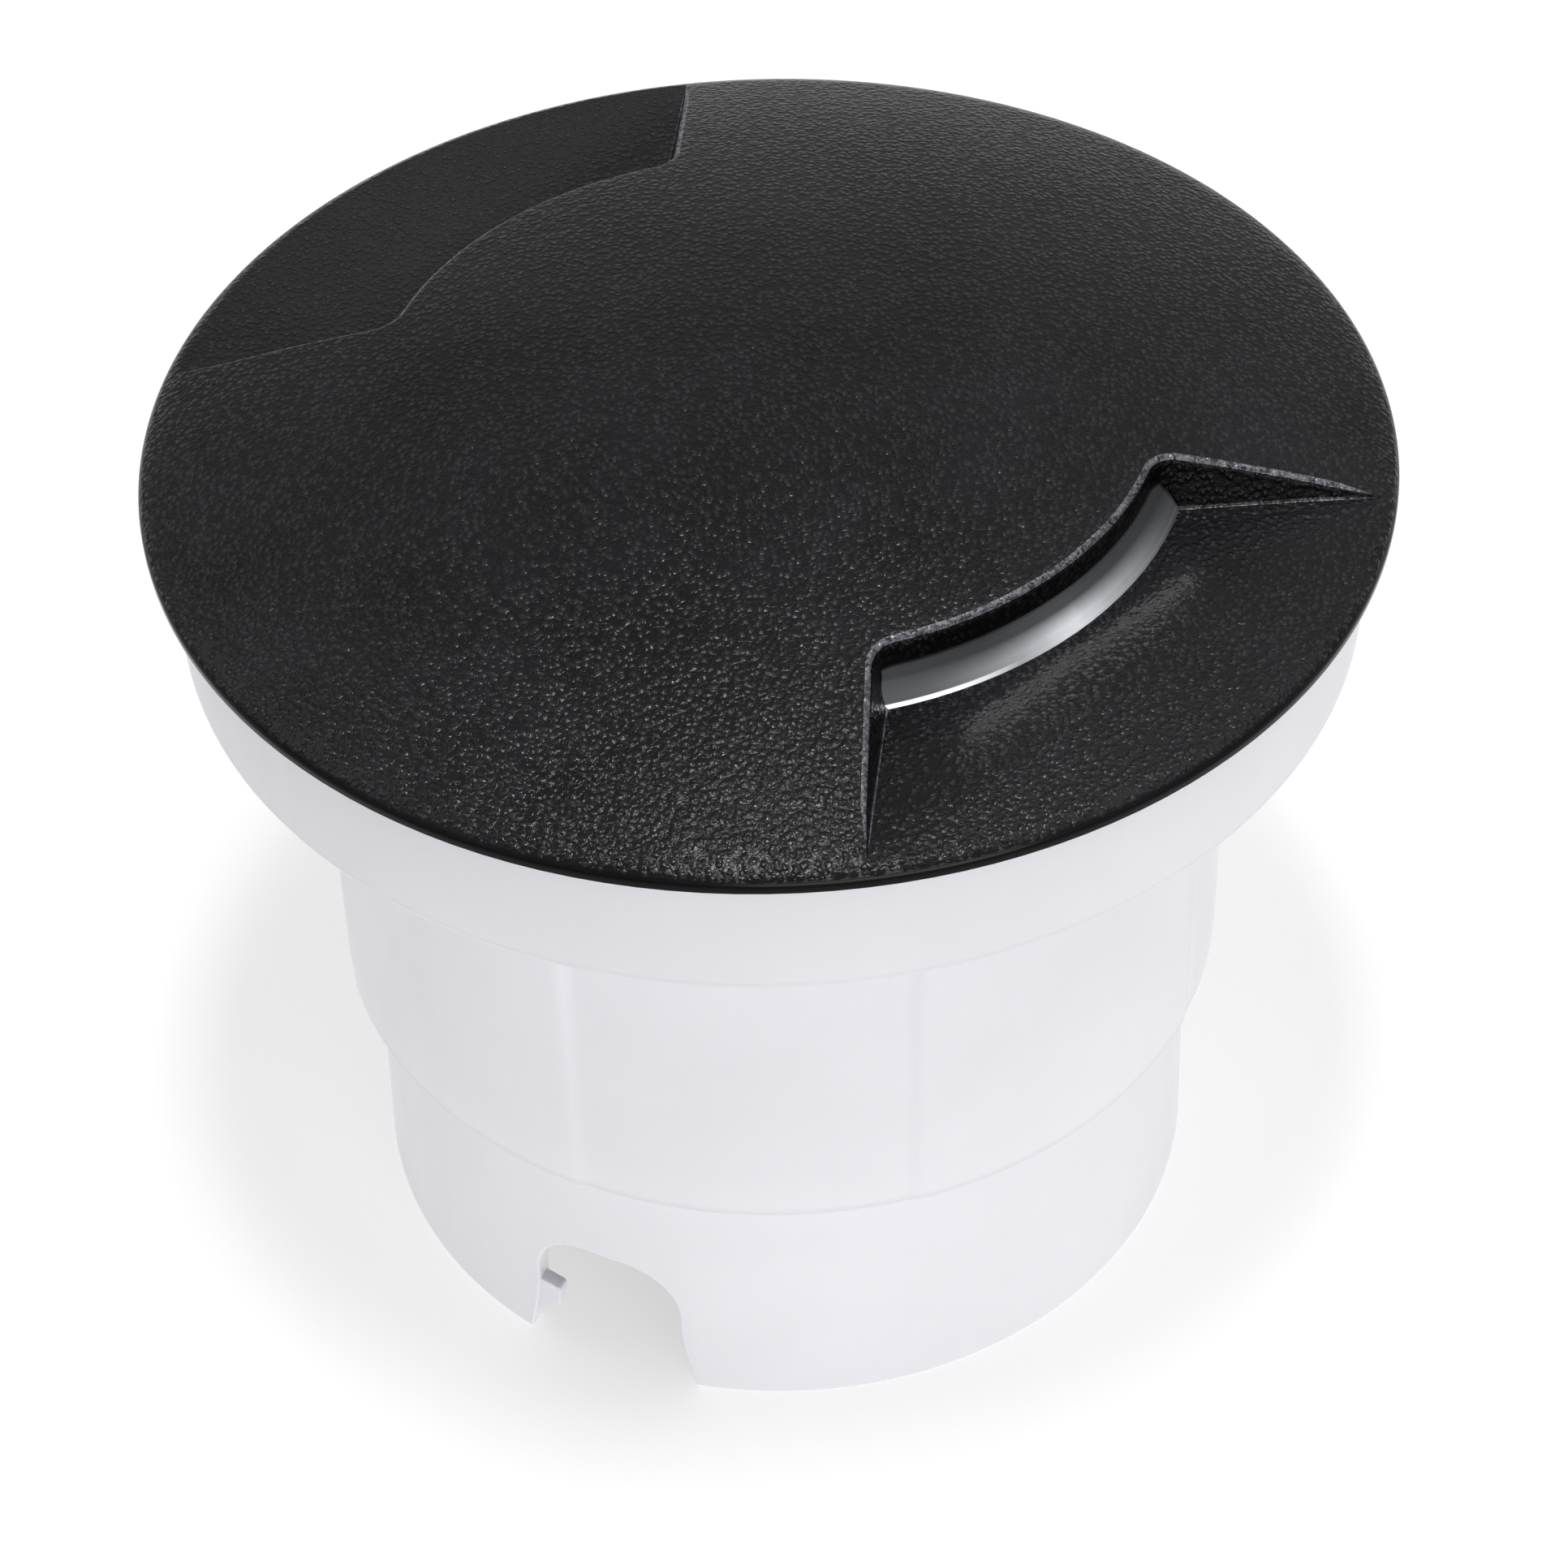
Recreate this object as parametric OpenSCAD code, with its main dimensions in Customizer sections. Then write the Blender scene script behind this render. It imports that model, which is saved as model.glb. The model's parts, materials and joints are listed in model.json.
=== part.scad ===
// Walk-over in-ground light with two side windows, standing in its installation sleeve.
// Frame: +Z up, origin on the sleeve's axis at the foot of its skirt. The two windows look along -Y and +Y.

/* [Sleeve] */
// Height of the skirt, up to the ledge under the barrel
skirt_h = 30.3; // [24:0.1:34]
// How much wider the skirt is at its foot than at the ledge
skirt_flare = 0.6; // [0.2:0.1:1.2]
// Width of the ledge between the skirt and the barrel
ledge_w = 3.1; // [2.5:0.1:3.8]
// Clearance between the pot and the barrel
barrel_gap = 1.9; // [1.5:0.1:3]
// Clearance between the housing's flange and the sleeve's flange wall
flange_gap = 0.9; // [0.5:0.1:2]
// How far the sleeve's flange wall reaches above the retaining ring
flange_rise = 1; // [0.6:0.1:4]
// Radius of the rounded lower edge of the flange
flange_edge_r = 1.2; // [0.5:0.1:1.8]
// Thickness of the flange floor
flange_floor_t = 3; // [2.5:0.1:4]
// Wall thickness of the sleeve
sleeve_t = 2; // [1.6:0.1:2.2]
// How far the raised panels stand out under the flange
panel_step = 0.9; // [0.5:0.1:1.5]
// How far the raised panels stand out at the ledge
panel_foot_step = 0.25; // [0.1:0.05:0.5]
// Angle that each raised panel covers
panel_span = 47.5; // [30:0.5:60]
// Direction of the middle of the first raised panel
panel_turn = -93.3; // [-120:0.1:-60]
// Width of a cable notch in the skirt
notch_w = 16; // [12:0.5:20]
// Height of a cable notch
notch_h = 16.5; // [12:0.5:20]
// Radius of the upper corners of a cable notch
notch_corner_r = 5.5; // [2:0.5:5.5]
// How far each side of a cable notch flares out at its foot
notch_flare_w = 1.5; // [0.5:0.1:2.5]
// Height of a cable notch's flared foot
notch_flare_h = 7.5; // [4:0.5:8]
// Direction of the middle of the first cable notch
notch_turn = -159.3; // [-180:0.1:-120]
// How far the cable nub reaches into its notch
nub_w = 2.5; // [1:0.1:4]
// Height of the cable nub's flat upper side
nub_z = 8.4; // [6:0.1:11]
// Number of guide ribs inside the barrel
guide_ribs = 8; // [4:1:12]
// Thickness of a guide rib
guide_rib_t = 1.6; // [1:0.1:2.5]

/* [Cover] */
// How far the cover reaches out over the sleeve's flange
cover_overhang = 2.5; // [1.5:0.1:4]
// Height of the smooth lip band
lip_h = 1.8; // [1.2:0.1:3]
// Gap between the sleeve's flange and the cover's lip
lip_gap = 0.4; // [0.3:0.1:1]
// Height of the crown above the lip's upper edge
dome_rise = 10; // [8:0.5:14]
// Thickness of the domed shell
shell_t = 2.5; // [2:0.1:2.8]
// Width of the bevelled edge round the cover
rim_edge_w = 1.2; // [0.6:0.1:1.8]
// Height of the bevelled edge round the cover
rim_edge_h = 0.35; // [0.2:0.05:0.6]
// Height of the pocket floors above the lip's upper edge
pocket_floor_rise = 0.45; // [0.3:0.05:0.6]
// How far the roof edge over each window stands inside the lens wall
roof_inset = 2.2; // [1.8:0.1:2.8]
// Distance from the axis to the point where a pocket's two side walls would meet
pocket_apex = 15.5; // [14:0.5:18]
// Angle between a pocket's side wall and the middle of the pocket
pocket_angle = 46.6; // [42:0.1:50]
// Radius of a pocket's inner corners
pocket_corner_r = 3; // [2:0.1:3.5]
// Draft angle of a pocket's side walls
pocket_draft = 15; // [5:1:20]
// Thickness of the wall beside and under a pocket
pocket_wall_t = 2; // [1.6:0.1:2.2]
// Radial thickness of the skirt that carries the bayonet lugs
skirt_ring_t = 2.2; // [1.8:0.1:2.4]
// Angle that each cover lug covers
lug_span = 31.2; // [24:0.2:32]
// Angle that the cover turns to come free
cover_turn = 40; // [36:1:42]
// Number of stiffening ribs under the dome
dome_ribs = 8; // [4:1:12]
// Thickness of a stiffening rib
dome_rib_t = 1.6; // [1:0.1:2.5]

/* [Housing] */
// Wall thickness of the pot
pot_t = 2.5; // [2:0.1:2.6]
// Clearance between the pot's underside and the sleeve's ledge
pot_foot_gap = 3.7; // [1:0.1:6]
// Thickness of the pot's floor
pot_floor_t = 3; // [2.5:0.1:4]
// How far the housing's flange reaches out past the cover's skirt
brim_w = 0.6; // [0.2:0.1:1.5]
// Thickness of the housing's flange
pot_flange_t = 2; // [1.8:0.1:2.4]
// Width of the groove for the cover gasket, round the retaining ring
gasket_room = 2.3; // [2:0.1:3]
// Height of the head ring above the flange
head_h = 4; // [3.6:0.1:4.4]
// How far the bayonet lugs reach out
lug_reach = 2; // [1.6:0.1:2.1]
// Thickness of the housing's bayonet lugs
lug_t = 1.4; // [1.2:0.1:1.6]
// Clearance between the terminal block and the nuts of the cable entries
entry_gap = 2; // [1:0.1:3]
// Distance between the pot's wall and the middle of a post under the mounting plate
post_inset = 4.2; // [4:0.1:4.6]
// Radius of the posts under the mounting plate
post_r = 3.5; // [3:0.1:3.8]

/* [Lens and seals] */
// How far the lens wall stands outside the pot's inner wall
lens_step = 1; // [0.6:0.1:1.4]
// Thickness of the lens wall
lens_t = 2.2; // [1.8:0.1:2.4]
// Thickness of the lens top
lens_top_t = 1.8; // [1.4:0.1:2.2]
// Width of the lens flange
lens_flange_w = 2.7; // [2.2:0.1:3.2]
// Thickness of the lens flange
lens_flange_t = 1.6; // [1.2:0.1:2]
// How far the lens leans in between the pocket floor and its top
lens_lean = 1.7; // [1.4:0.1:2]
// Thickness of the lens gasket
lens_gasket_t = 1; // [0.8:0.1:1.5]
// Thickness of the cover gasket
cover_gasket_t = 2.2; // [1.6:0.1:2.6]
// Thickness of the retaining ring
ring_t = 1.4; // [1.2:0.1:1.8]
// Clearance between the lens wall and the deflector's rim
deflector_gap = 3.1; // [1:0.1:6]
// Depth of the deflector
deflector_h = 6.4; // [5:0.2:6.6]

/* [Lamp and lampholder] */
// Outer radius of the lamp
lamp_r = 37.3; // [34:0.1:42]
// Height of the lamp above its base plane
lamp_h = 15.6; // [15:0.2:16.4]
// Distance between a contact pin's axis and the boss under the lamp's base
boss_inset = 5; // [4.8:0.1:5.8]
// Depth of the boss under the lamp's base
lamp_boss_h = 5.5; // [5:0.1:5.6]
// Wall thickness of the lamp's housing
lamp_t = 1.4; // [1.2:0.1:1.6]
// Distance between the lamp's side and a contact pin's axis
pin_inset = 10.8; // [10.4:0.1:11.4]
// Clearance between the lamp and the pot's wall
lamp_side_gap = 1.7; // [1.2:0.1:3]
// Clearance between the lamp and the head ring's top
lamp_top_gap = 0.9; // [0.5:0.1:3]
// Room for the wires between the terminal block and the mounting plate
wiring_gap = 4.5; // [3:0.1:10]
// Radius of a contact pin's shank
pin_r = 1.5; // [1.3:0.1:1.6]
// Radius of a contact pin's head
pin_head_r = 2.5; // [2.3:0.1:2.6]
// Angle that the lamp turns to come free
lamp_turn = 12; // [10:1:14]
// Height of the lampholder
holder_h = 10; // [9.5:0.1:10.5]
// Thickness of the lampholder's slotted top
holder_top_t = 3; // [2.6:0.1:3.2]
// Thickness of the mounting plate
plate_t = 1.2; // [0.8:0.1:1.6]

/* [Terminals and cable entry] */
// Length of the terminal block along its poles
terminal_l = 18; // [17:0.5:20]
// Width of the terminal block
terminal_w = 22; // [21.5:0.5:22.5]
// Height of the terminal block
terminal_h = 12.5; // [12:0.1:13]
// Distance between the two poles
pole_pitch = 11; // [10:0.5:11.5]
// Radius of an inner lead
lead_r = 1; // [0.8:0.1:1.1]
// Bend radius of an inner lead
lead_bend_r = 3; // [2.6:0.1:3.2]
// Radius of the gland's thread in the pot's floor
gland_thread_r = 8; // [7.5:0.1:8.2]
// Radius of the hole that the gland leaves for the cable
cable_hole_r = 4.3; // [3.5:0.1:4.6]
// Height of the gland's cap nut
cap_nut_h = 14; // [12:0.5:15]

/* [Screws] */
// Shank radius of the small countersunk screws
small_screw_r = 1.25; // [1:0.05:1.4]
// Head radius of the small countersunk screws
small_head_r = 2.05; // [1.9:0.05:2.1]
// Shank radius of the pan head and deflector screws
screw_r = 1.5; // [1.3:0.05:1.6]
// Head radius of the pan head screws
pan_head_r = 2.8; // [2.5:0.05:2.9]

/* [Hidden] */

$fn = 96;
// Facets of a small round piece
small_fn = 48;
// Running clearance between a screw and its hole
screw_gap = 0.05;
// Clearance between pieces that are pushed together
loose = 0.1;
// Clearance between pieces that only lie near each other
gap = 0.3;
// Clearance round the bayonet lugs
lug_gap = 0.4;
// Clearance round the lamp
lamp_gap = 0.8;
// Overlap of joined shapes inside one piece
lap = 0.2;
// How far a cutting shape runs past the solid
over = 1;
// Cross slot of a pan head screw
cross_slot_w = 0.7;
cross_slot_depth = 1;

// Radii, from the lamp outwards
pot_in_r = lamp_r + lamp_side_gap;
pot_r = pot_in_r + pot_t;
lens_r = pot_in_r + lens_step;
lens_flange_r = lens_r + lens_flange_w;
ring_in_r = lens_r + gap;
ring_foot_r = lens_flange_r + gap;
ring_screw_x = ring_foot_r + small_head_r - loose;
ring_out_r = ring_foot_r + 2 * small_head_r;
head_r = ring_out_r + gasket_room;
gasket_in_r = ring_out_r + gap;
gasket_out_r = head_r - loose;
lug_out_r = head_r + lug_reach;
skirt_ring_r = lug_out_r + lug_gap;
skirt_ring_out_r = skirt_ring_r + skirt_ring_t;
pot_flange_r = skirt_ring_out_r + brim_w;
flange_in_r = pot_flange_r + flange_gap;
flange_r = flange_in_r + sleeve_t;
cover_r = flange_r + cover_overhang;
barrel_in_r = pot_r + barrel_gap;
barrel_r = barrel_in_r + sleeve_t;
skirt_top_r = barrel_r - ledge_w;
skirt_in_r = skirt_top_r - sleeve_t;
skirt_foot_r = skirt_top_r + skirt_flare;

// Heights, from the skirt upwards
pot_bottom_z = skirt_h + sleeve_t + pot_foot_gap;
pot_floor_z = pot_bottom_z + pot_floor_t;
terminal_z = pot_floor_z + terminal_h;
plate_z = terminal_z + wiring_gap;
holder_z = plate_z + plate_t;
holder_top_z = holder_z + holder_h;
lamp_base_z = holder_top_z + gap;
lamp_top_z = lamp_base_z + lamp_h;
head_z = lamp_top_z + lamp_top_gap;
pot_flange_z = head_z - head_h;
flange_floor_z = pot_flange_z - pot_flange_t;
flange_under_z = flange_floor_z - flange_floor_t;
lens_gasket_z = head_z + lens_gasket_t;
lens_flange_z = lens_gasket_z + lens_flange_t;
ring_z = lens_flange_z + ring_t;
cover_gasket_z = head_z + cover_gasket_t;
sleeve_h = ring_z + flange_rise;
lip_under_z = sleeve_h + lip_gap;
rim_z = lip_under_z + lip_h;
pocket_floor_z = rim_z + pocket_floor_rise;
crown_z = rim_z + dome_rise;

// Sleeve
panel_count = 4;
nub_face_h = 2.4;
nub_h = 5.8;
nub_root_w = notch_flare_w + lap;
sleeve_screw_depth = 2.5;
rib_top_drop = 4.2;

// Housing
pot_edge = 1.5;
lug_count = 4;
stop_span = 3;
stop_gap = 0.4;
post_count = 3;
post_x = pot_in_r - post_inset;
post_web_t = 2;
post_web_drop = 6.2;
plate_screw_depth = 9;
ring_screw_depth = 5;
terminal_screw_depth = 2;
screw_seat_depth = 8;
housing_lug_span = lug_span + 2 * stop_gap;
housing_screw_x = (head_r + pot_flange_r) / 2;
housing_screw_turn = -(lug_span + cover_turn) / 2 - 2;
ring_screw_count = 4;
ring_screw_turn = 45;

// Cover
dome_r = (cover_r * cover_r + dome_rise * dome_rise) / (2 * dome_rise);
dome_fn = 240;
corner_steps = 8;
reach = 2 * cover_r;
lip_edge = 0.4;
roof_edge_r = lens_r - roof_inset;
roof_gap = 0.4;
skirt_ring_z = pot_flange_z + 0.5;
cover_lug_z = head_z - lug_t - lug_gap;
cavity_r = (gasket_in_r + gasket_out_r) / 2;
ring_root = 1.5;

// Lens
lens_top_z = dome_z(lens_r - lens_lean) - shell_t - roof_gap;
lens_boss_r = 3.6;
lens_boss_h = 3;
dome_rib_start = lens_boss_r + 4;
boss_cap_t = 1;
deflector_z = lens_top_z - lens_top_t;
deflector_r = lens_r - lens_lean - lens_t - deflector_gap;
deflector_tip_r = 4;
deflector_bore = 2;
deflector_head_r = 2.8;
// Points of the deflector's flank, as shares of its radius and depth
deflector_flank = [[1, 0.125], [0.73, 0.28], [0.48, 0.52], [0.28, 0.77]];

// Lamp
pin_x = lamp_r - pin_inset;
pin_drop = holder_top_t + 2 * gap;
pin_head_h = 2;
lamp_boss_r = pin_x - boss_inset;
lamp_boss_z = lamp_base_z - lamp_boss_h;
lamp_rim_h = 3.1;
lamp_rim_z = lamp_top_z - lamp_rim_h;
diffuser_t = 1.2;
diffuser_lip_h = 2.5;
diffuser_edge_drop = 2.1;
// Points of the diffuser's crown, as shares of the lamp's radius and of the drop at its edge
diffuser_crown = [[0.4, 0.095], [0.8, 0.43]];
led_board_rise = 6.5;
led_board_z = lamp_base_z + led_board_rise;
led_board_t = 1.6;
led_board_r = lamp_r - lamp_t - 2 * gap;
led_count = 12;
led_w = 2.8;
led_h = 0.8;
led_ring_r = 0.68 * led_board_r;
driver_board_rise = 3.2;
driver_board_z = lamp_boss_z + driver_board_rise;
driver_board_t = 1.2;
driver_board_r = lamp_boss_r - lamp_t - 4 * gap;
driver_stud_r = 1.6;
driver_stud_x = driver_board_r - driver_stud_r - lug_gap;

// Parts on the driver board
coil_x = -7;
coil_y = 4;
coil_r = 3.6;
coil_h = 5;
filter_x = 2;
filter_w = 8;
filter_h = 4;
bridge_x = -10;
bridge_y = -9;
bridge_l = 7;
bridge_w = 5;
bridge_h = 2.5;
chip_x = 3;
chip_y = -10;
chip_l = 8;
chip_w = 6;
chip_h = 1.6;

// Lampholder and mounting plate
holder_step_h = 2.8;
holder_step_z = holder_z + holder_step_h;
holder_seat_t = 2;
holder_seat_z = holder_step_z + holder_seat_t;
holder_foot_r = post_x - pan_head_r - lamp_gap;
holder_bore_r = lamp_boss_r + lamp_gap;
chamber_floor_t = 2.4;
chamber_wall_t = 1;
chamber_z = holder_z + chamber_floor_t;
chamber_top_z = holder_top_z - holder_top_t;
chamber_in_r = holder_bore_r + chamber_wall_t;
chamber_out_r = pin_x + pin_head_r + lamp_gap;
slot_r = pin_r + gap;
keyhole_r = pin_head_r + lug_gap;
contact_in_r = chamber_in_r + 3 * gap;
contact_out_r = chamber_out_r - 2 * gap;
contact_top_z = lamp_base_z - pin_drop - pin_head_h - gap;
contact_from = -5;
chamber_from = -lamp_turn - 9;
holder_screw_count = 2;
holder_screw_step = 1.3;
holder_screw_x = holder_foot_r + holder_screw_step;
holder_screw_turn = 120;
holder_boss_r = pan_head_r + lamp_gap;
plate_r = pot_in_r - 2 * gap;
plate_hole_r = 2 * lead_r;
plate_bore_r = 7;
plate_screw_l = 7;
pan_head_h = 2;

// Terminal block
pole_h = 5.5;
pole_z = pot_floor_z + pole_h;
pole_x = pole_pitch / 2;
insert_r = 2.6;
insert_bore_r = 1.7;
insert_l = terminal_l - 1;
clamp_inset = 4;
clamp_sink = 1.5;
clamp_tip_rise = 0.5;
clamp_y = terminal_l / 2 - clamp_inset;
clamp_head_r = 1.9;
clamp_head_z = terminal_z - clamp_sink;
clamp_tip_z = pole_z + clamp_tip_rise;
clamp_neck_z = clamp_tip_z + insert_r + lap;
clamp_slot_w = 0.6;
clamp_slot_depth = 0.8;
fixing_seat_t = 5;
fixing_head_z = pot_floor_z + fixing_seat_t;
fixing_tip_z = pot_floor_z - terminal_screw_depth + lug_gap;
end_relief_r = 2;
end_relief_depth = 3;

// Inner leads
lead_start_y = clamp_y + screw_r + gap;
lead_out = 2.5;
lead_turn_y = terminal_l / 2 + lead_out;
lead_run_y = lead_turn_y + lead_bend_r;
lead_run_z = chamber_z + lead_r;
lead_end_x = sqrt(pow(contact_in_r, 2) - pow(lead_run_y + lead_r, 2)) - loose;
contact_margin = 5.2;
contact_to = asin(lead_run_y / contact_in_r) + contact_margin;
chamber_to = contact_to + 3;

// Cable entries
entry_seal_t = 1.4;
hex_h = 4.6;
hex_r = gland_thread_r + 3;
entry_x = terminal_w / 2 + entry_gap + hex_r;
hex_z = pot_bottom_z - entry_seal_t - hex_h;
lock_nut_h = 3.5;
gland_stub_z = pot_floor_z + lock_nut_h + 1;
gland_neck_r = gland_thread_r - lug_gap;
gland_neck_t = 1.4;
gland_neck_h = 8;
gland_neck_z = hex_z - gland_neck_h;
gland_bore_r = cable_hole_r + 2 * gap;
cap_nut_z = hex_z - gap - cap_nut_h;
cap_nut_r = gland_thread_r + 2.5;
cap_round_r = cap_nut_r * cos(30) - loose;
cap_edge = 2;
cap_edge_h = 3;
cap_collar_h = 5;
seal_r = gland_neck_r - gland_neck_t;
seal_h = 8;
cap_floor_t = 2.5;
seal_z = cap_nut_z + cap_floor_t;
plug_slot_w = 2;
plug_slot_l = 1.6 * gland_thread_r;
plug_slot_depth = 2;
plug_t = 2.5;

// Height of the dome's outer face at radius r
function dome_z(r) = crown_z - dome_r + sqrt(dome_r * dome_r - r * r);

// Point on a circle
function polar(r, turn) = [r * cos(turn), r * sin(turn)];

// Distance along the line at the pocket's angle, from the point at apex on the axis to the circle of radius r
function along(apex, r) = -apex * cos(pocket_angle)
    + sqrt(r * r - pow(apex * sin(pocket_angle), 2));

module tube(r_out, r_in, z0, z1) {
    translate([0, 0, z0]) difference() {
        cylinder(r = r_out, h = z1 - z0);
        translate([0, 0, -over]) cylinder(r = r_in, h = z1 - z0 + 2 * over);
    }
}

// Part of a ring between two directions
module ring_part(r_in, r_out, z0, z1, from, span) {
    rotate([0, 0, from]) rotate_extrude(angle = span)
        translate([r_in, z0]) square([r_out - r_in, z1 - z0]);
}

module around(count, first = 0) {
    for (i = [0 : count - 1]) rotate([0, 0, first + i * 360 / count]) children();
}

module both_ways() {
    for (turn = [0, 180]) rotate([0, 0, turn]) children();
}

// Screw with a countersunk head, its flat face at z = 0 and its shank below
module countersunk(r, head_r, length) {
    translate([0, 0, -length]) cylinder(r = r, h = length, $fn = small_fn);
    translate([0, 0, r - head_r]) cylinder(r1 = r, r2 = head_r, h = head_r - r, $fn = small_fn);
}

// Screw with a pan head that sits on z = 0
module pan_screw(r, head_r, length) {
    slot_l = 1.2 * head_r;
    translate([0, 0, -length]) cylinder(r = r, h = length + lap, $fn = small_fn);
    difference() {
        cylinder(r = head_r, h = pan_head_h, $fn = small_fn);
        for (turn = [0, 90]) rotate([0, 0, turn])
            translate([-slot_l / 2, -cross_slot_w / 2, pan_head_h - cross_slot_depth])
                cube([slot_l, cross_slot_w, cross_slot_depth + over]);
    }
}

// Flat outline of a cable notch, standing on the x axis
module notch_outline() {
    translate([-notch_w / 2, -over]) square([notch_w, notch_h - notch_corner_r + over]);
    translate([notch_corner_r - notch_w / 2, 0]) square([notch_w - 2 * notch_corner_r, notch_h]);
    for (side = [-1, 1]) translate([side * (notch_w / 2 - notch_corner_r), notch_h - notch_corner_r])
        circle(r = notch_corner_r, $fn = small_fn);
    for (side = [-1, 1]) translate([side * notch_w / 2, -over])
        polygon([[-side * lap, 0], [side * notch_flare_w, 0], [side * notch_flare_w, over],
                 [-side * lap, notch_flare_h + over]]);
}

// Small wedge on a notch's edge: flat above, sloping below, so a cable snaps in behind it
module cable_nub() {
    translate([-notch_w / 2, nub_z])
        polygon([[-nub_root_w, 0], [nub_w, 0], [nub_w - lap, -nub_face_h], [-nub_root_w, -nub_h]]);
}

// Turns an upright outline so that it faces outwards, and gives it a depth from r_in to r_out
module facing(turn, r_in, r_out) {
    rotate([0, 0, turn + 90]) translate([0, -r_in, 0]) rotate([90, 0, 0])
        linear_extrude(height = r_out - r_in) children();
}

module sleeve() {
    color("white") {
        difference() {
            union() {
                sleeve_shell();
                around(guide_ribs) guide_rib();
            }
            around(panel_count, panel_turn + panel_span / 2) panel_recess();
            for (turn = [notch_turn, notch_turn + 180])
                facing(turn, skirt_in_r - notch_h, skirt_foot_r + over) notch_outline();
            around(lug_count, housing_screw_turn)
                translate([housing_screw_x, 0, flange_floor_z - sleeve_screw_depth])
                    cylinder(r = small_screw_r + screw_gap, h = sleeve_screw_depth + over, $fn = small_fn);
        }
        for (turn = [notch_turn, notch_turn + 180])
            intersection() {
                facing(turn, skirt_in_r - 2 * over, skirt_foot_r) cable_nub();
                tube(skirt_top_r, skirt_in_r, 0, skirt_h);
            }
    }
}

module sleeve_shell() {
    rotate_extrude() {
        difference() {
            polygon([
                [0, 0], [skirt_foot_r, 0], [skirt_top_r, skirt_h], [barrel_r + panel_foot_step, skirt_h],
                [barrel_r + panel_step, flange_under_z], [flange_r - flange_edge_r, flange_under_z],
                [flange_r, flange_under_z + flange_edge_r], [flange_r, sleeve_h], [0, sleeve_h]
            ]);
            polygon([
                [-over, -over], [skirt_foot_r - sleeve_t, -over], [skirt_foot_r - sleeve_t, 0],
                [skirt_in_r, skirt_h + sleeve_t], [barrel_in_r, skirt_h + sleeve_t],
                [barrel_in_r, flange_floor_z], [flange_in_r, flange_floor_z],
                [flange_in_r, sleeve_h + over], [-over, sleeve_h + over]
            ]);
        }
        intersection() {
            translate([flange_r - flange_edge_r, flange_under_z + flange_edge_r])
                circle(r = flange_edge_r, $fn = small_fn);
            translate([flange_r - flange_edge_r, flange_under_z]) square(flange_edge_r);
        }
    }
}

// Room between two raised panels, with a sloping top under the flange
module panel_recess() {
    top = flange_under_z - gap;
    rotate_extrude(angle = 360 / panel_count - panel_span)
        polygon([
            [barrel_r, skirt_h - over], [barrel_r + 2 * panel_step, skirt_h - over],
            [barrel_r + 2 * panel_step, top], [barrel_r + panel_step, top], [barrel_r, top - panel_step]
        ]);
}

module guide_rib() {
    rib_in_r = pot_r + gap;
    rib_foot_z = skirt_h + sleeve_t - lap;
    translate([rib_in_r, -guide_rib_t / 2, rib_foot_z])
        cube([barrel_in_r - rib_in_r + lap, guide_rib_t, flange_floor_z - rib_foot_z - rib_top_drop]);
}

module housing() {
    color("dimgray") difference() {
        union() {
            rotate_extrude() polygon([
                [0, pot_bottom_z], [pot_r - pot_edge, pot_bottom_z], [pot_r, pot_bottom_z + pot_edge],
                [pot_r, flange_floor_z], [pot_flange_r, flange_floor_z], [pot_flange_r, pot_flange_z],
                [head_r, pot_flange_z], [head_r, head_z], [pot_in_r, head_z], [pot_in_r, pot_floor_z],
                [0, pot_floor_z]
            ]);
            around(lug_count) bayonet_lug();
            around(post_count, 90) plate_post();
        }
        both_ways() translate([entry_x, 0, pot_bottom_z - over])
            cylinder(r = gland_thread_r + screw_gap, h = pot_floor_t + 2 * over);
        around(ring_screw_count, ring_screw_turn) translate([ring_screw_x, 0, head_z - ring_screw_depth])
            cylinder(r = small_screw_r + screw_gap, h = ring_screw_depth + over, $fn = small_fn);
        around(lug_count, housing_screw_turn) translate([housing_screw_x, 0, pot_flange_z]) screw_seat();
        around(post_count, 90) translate([post_x, 0, plate_z - plate_screw_depth])
            cylinder(r = screw_r + screw_gap, h = plate_screw_depth + over, $fn = small_fn);
        translate([0, 0, pot_floor_z - terminal_screw_depth])
            cylinder(r = small_screw_r + screw_gap, h = terminal_screw_depth + over, $fn = small_fn);
    }
}

// Lug on the head ring with a stop at each end of the cover's turn
module bayonet_lug() {
    lug_end = housing_lug_span / 2;
    open_end = -cover_turn - lug_end;
    ring_part(head_r - lap, lug_out_r, head_z - lug_t, head_z, -lug_end, 2 * lug_end);
    ring_part(head_r - lap, lug_out_r, pot_flange_z - lap, head_z, lug_end, stop_span);
    ring_part(head_r - lap, lug_out_r, pot_flange_z - lap, head_z, open_end - stop_span, stop_span);
}

module plate_post() {
    post_h = plate_z - pot_floor_z + lap;
    translate([post_x, 0, pot_floor_z - lap]) {
        cylinder(r = post_r, h = post_h, $fn = small_fn);
        translate([0, -post_web_t / 2, 0]) cube([post_inset + over, post_web_t, post_h - post_web_drop]);
    }
}

// Countersunk hole for a small screw, its mouth at z = 0
module screw_seat() {
    translate([0, 0, -screw_seat_depth])
        cylinder(r = small_screw_r + screw_gap, h = screw_seat_depth + over, $fn = small_fn);
    translate([0, 0, small_screw_r - small_head_r])
        cylinder(r1 = small_screw_r + screw_gap, r2 = small_head_r + screw_gap,
            h = small_head_r - small_screw_r, $fn = small_fn);
    cylinder(r = small_head_r + screw_gap, h = over, $fn = small_fn);
}

module housing_screws() {
    color("silver") around(lug_count, housing_screw_turn) translate([housing_screw_x, 0, pot_flange_z])
        countersunk(small_screw_r, small_head_r, pot_flange_t + sleeve_screw_depth - lap);
}

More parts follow.
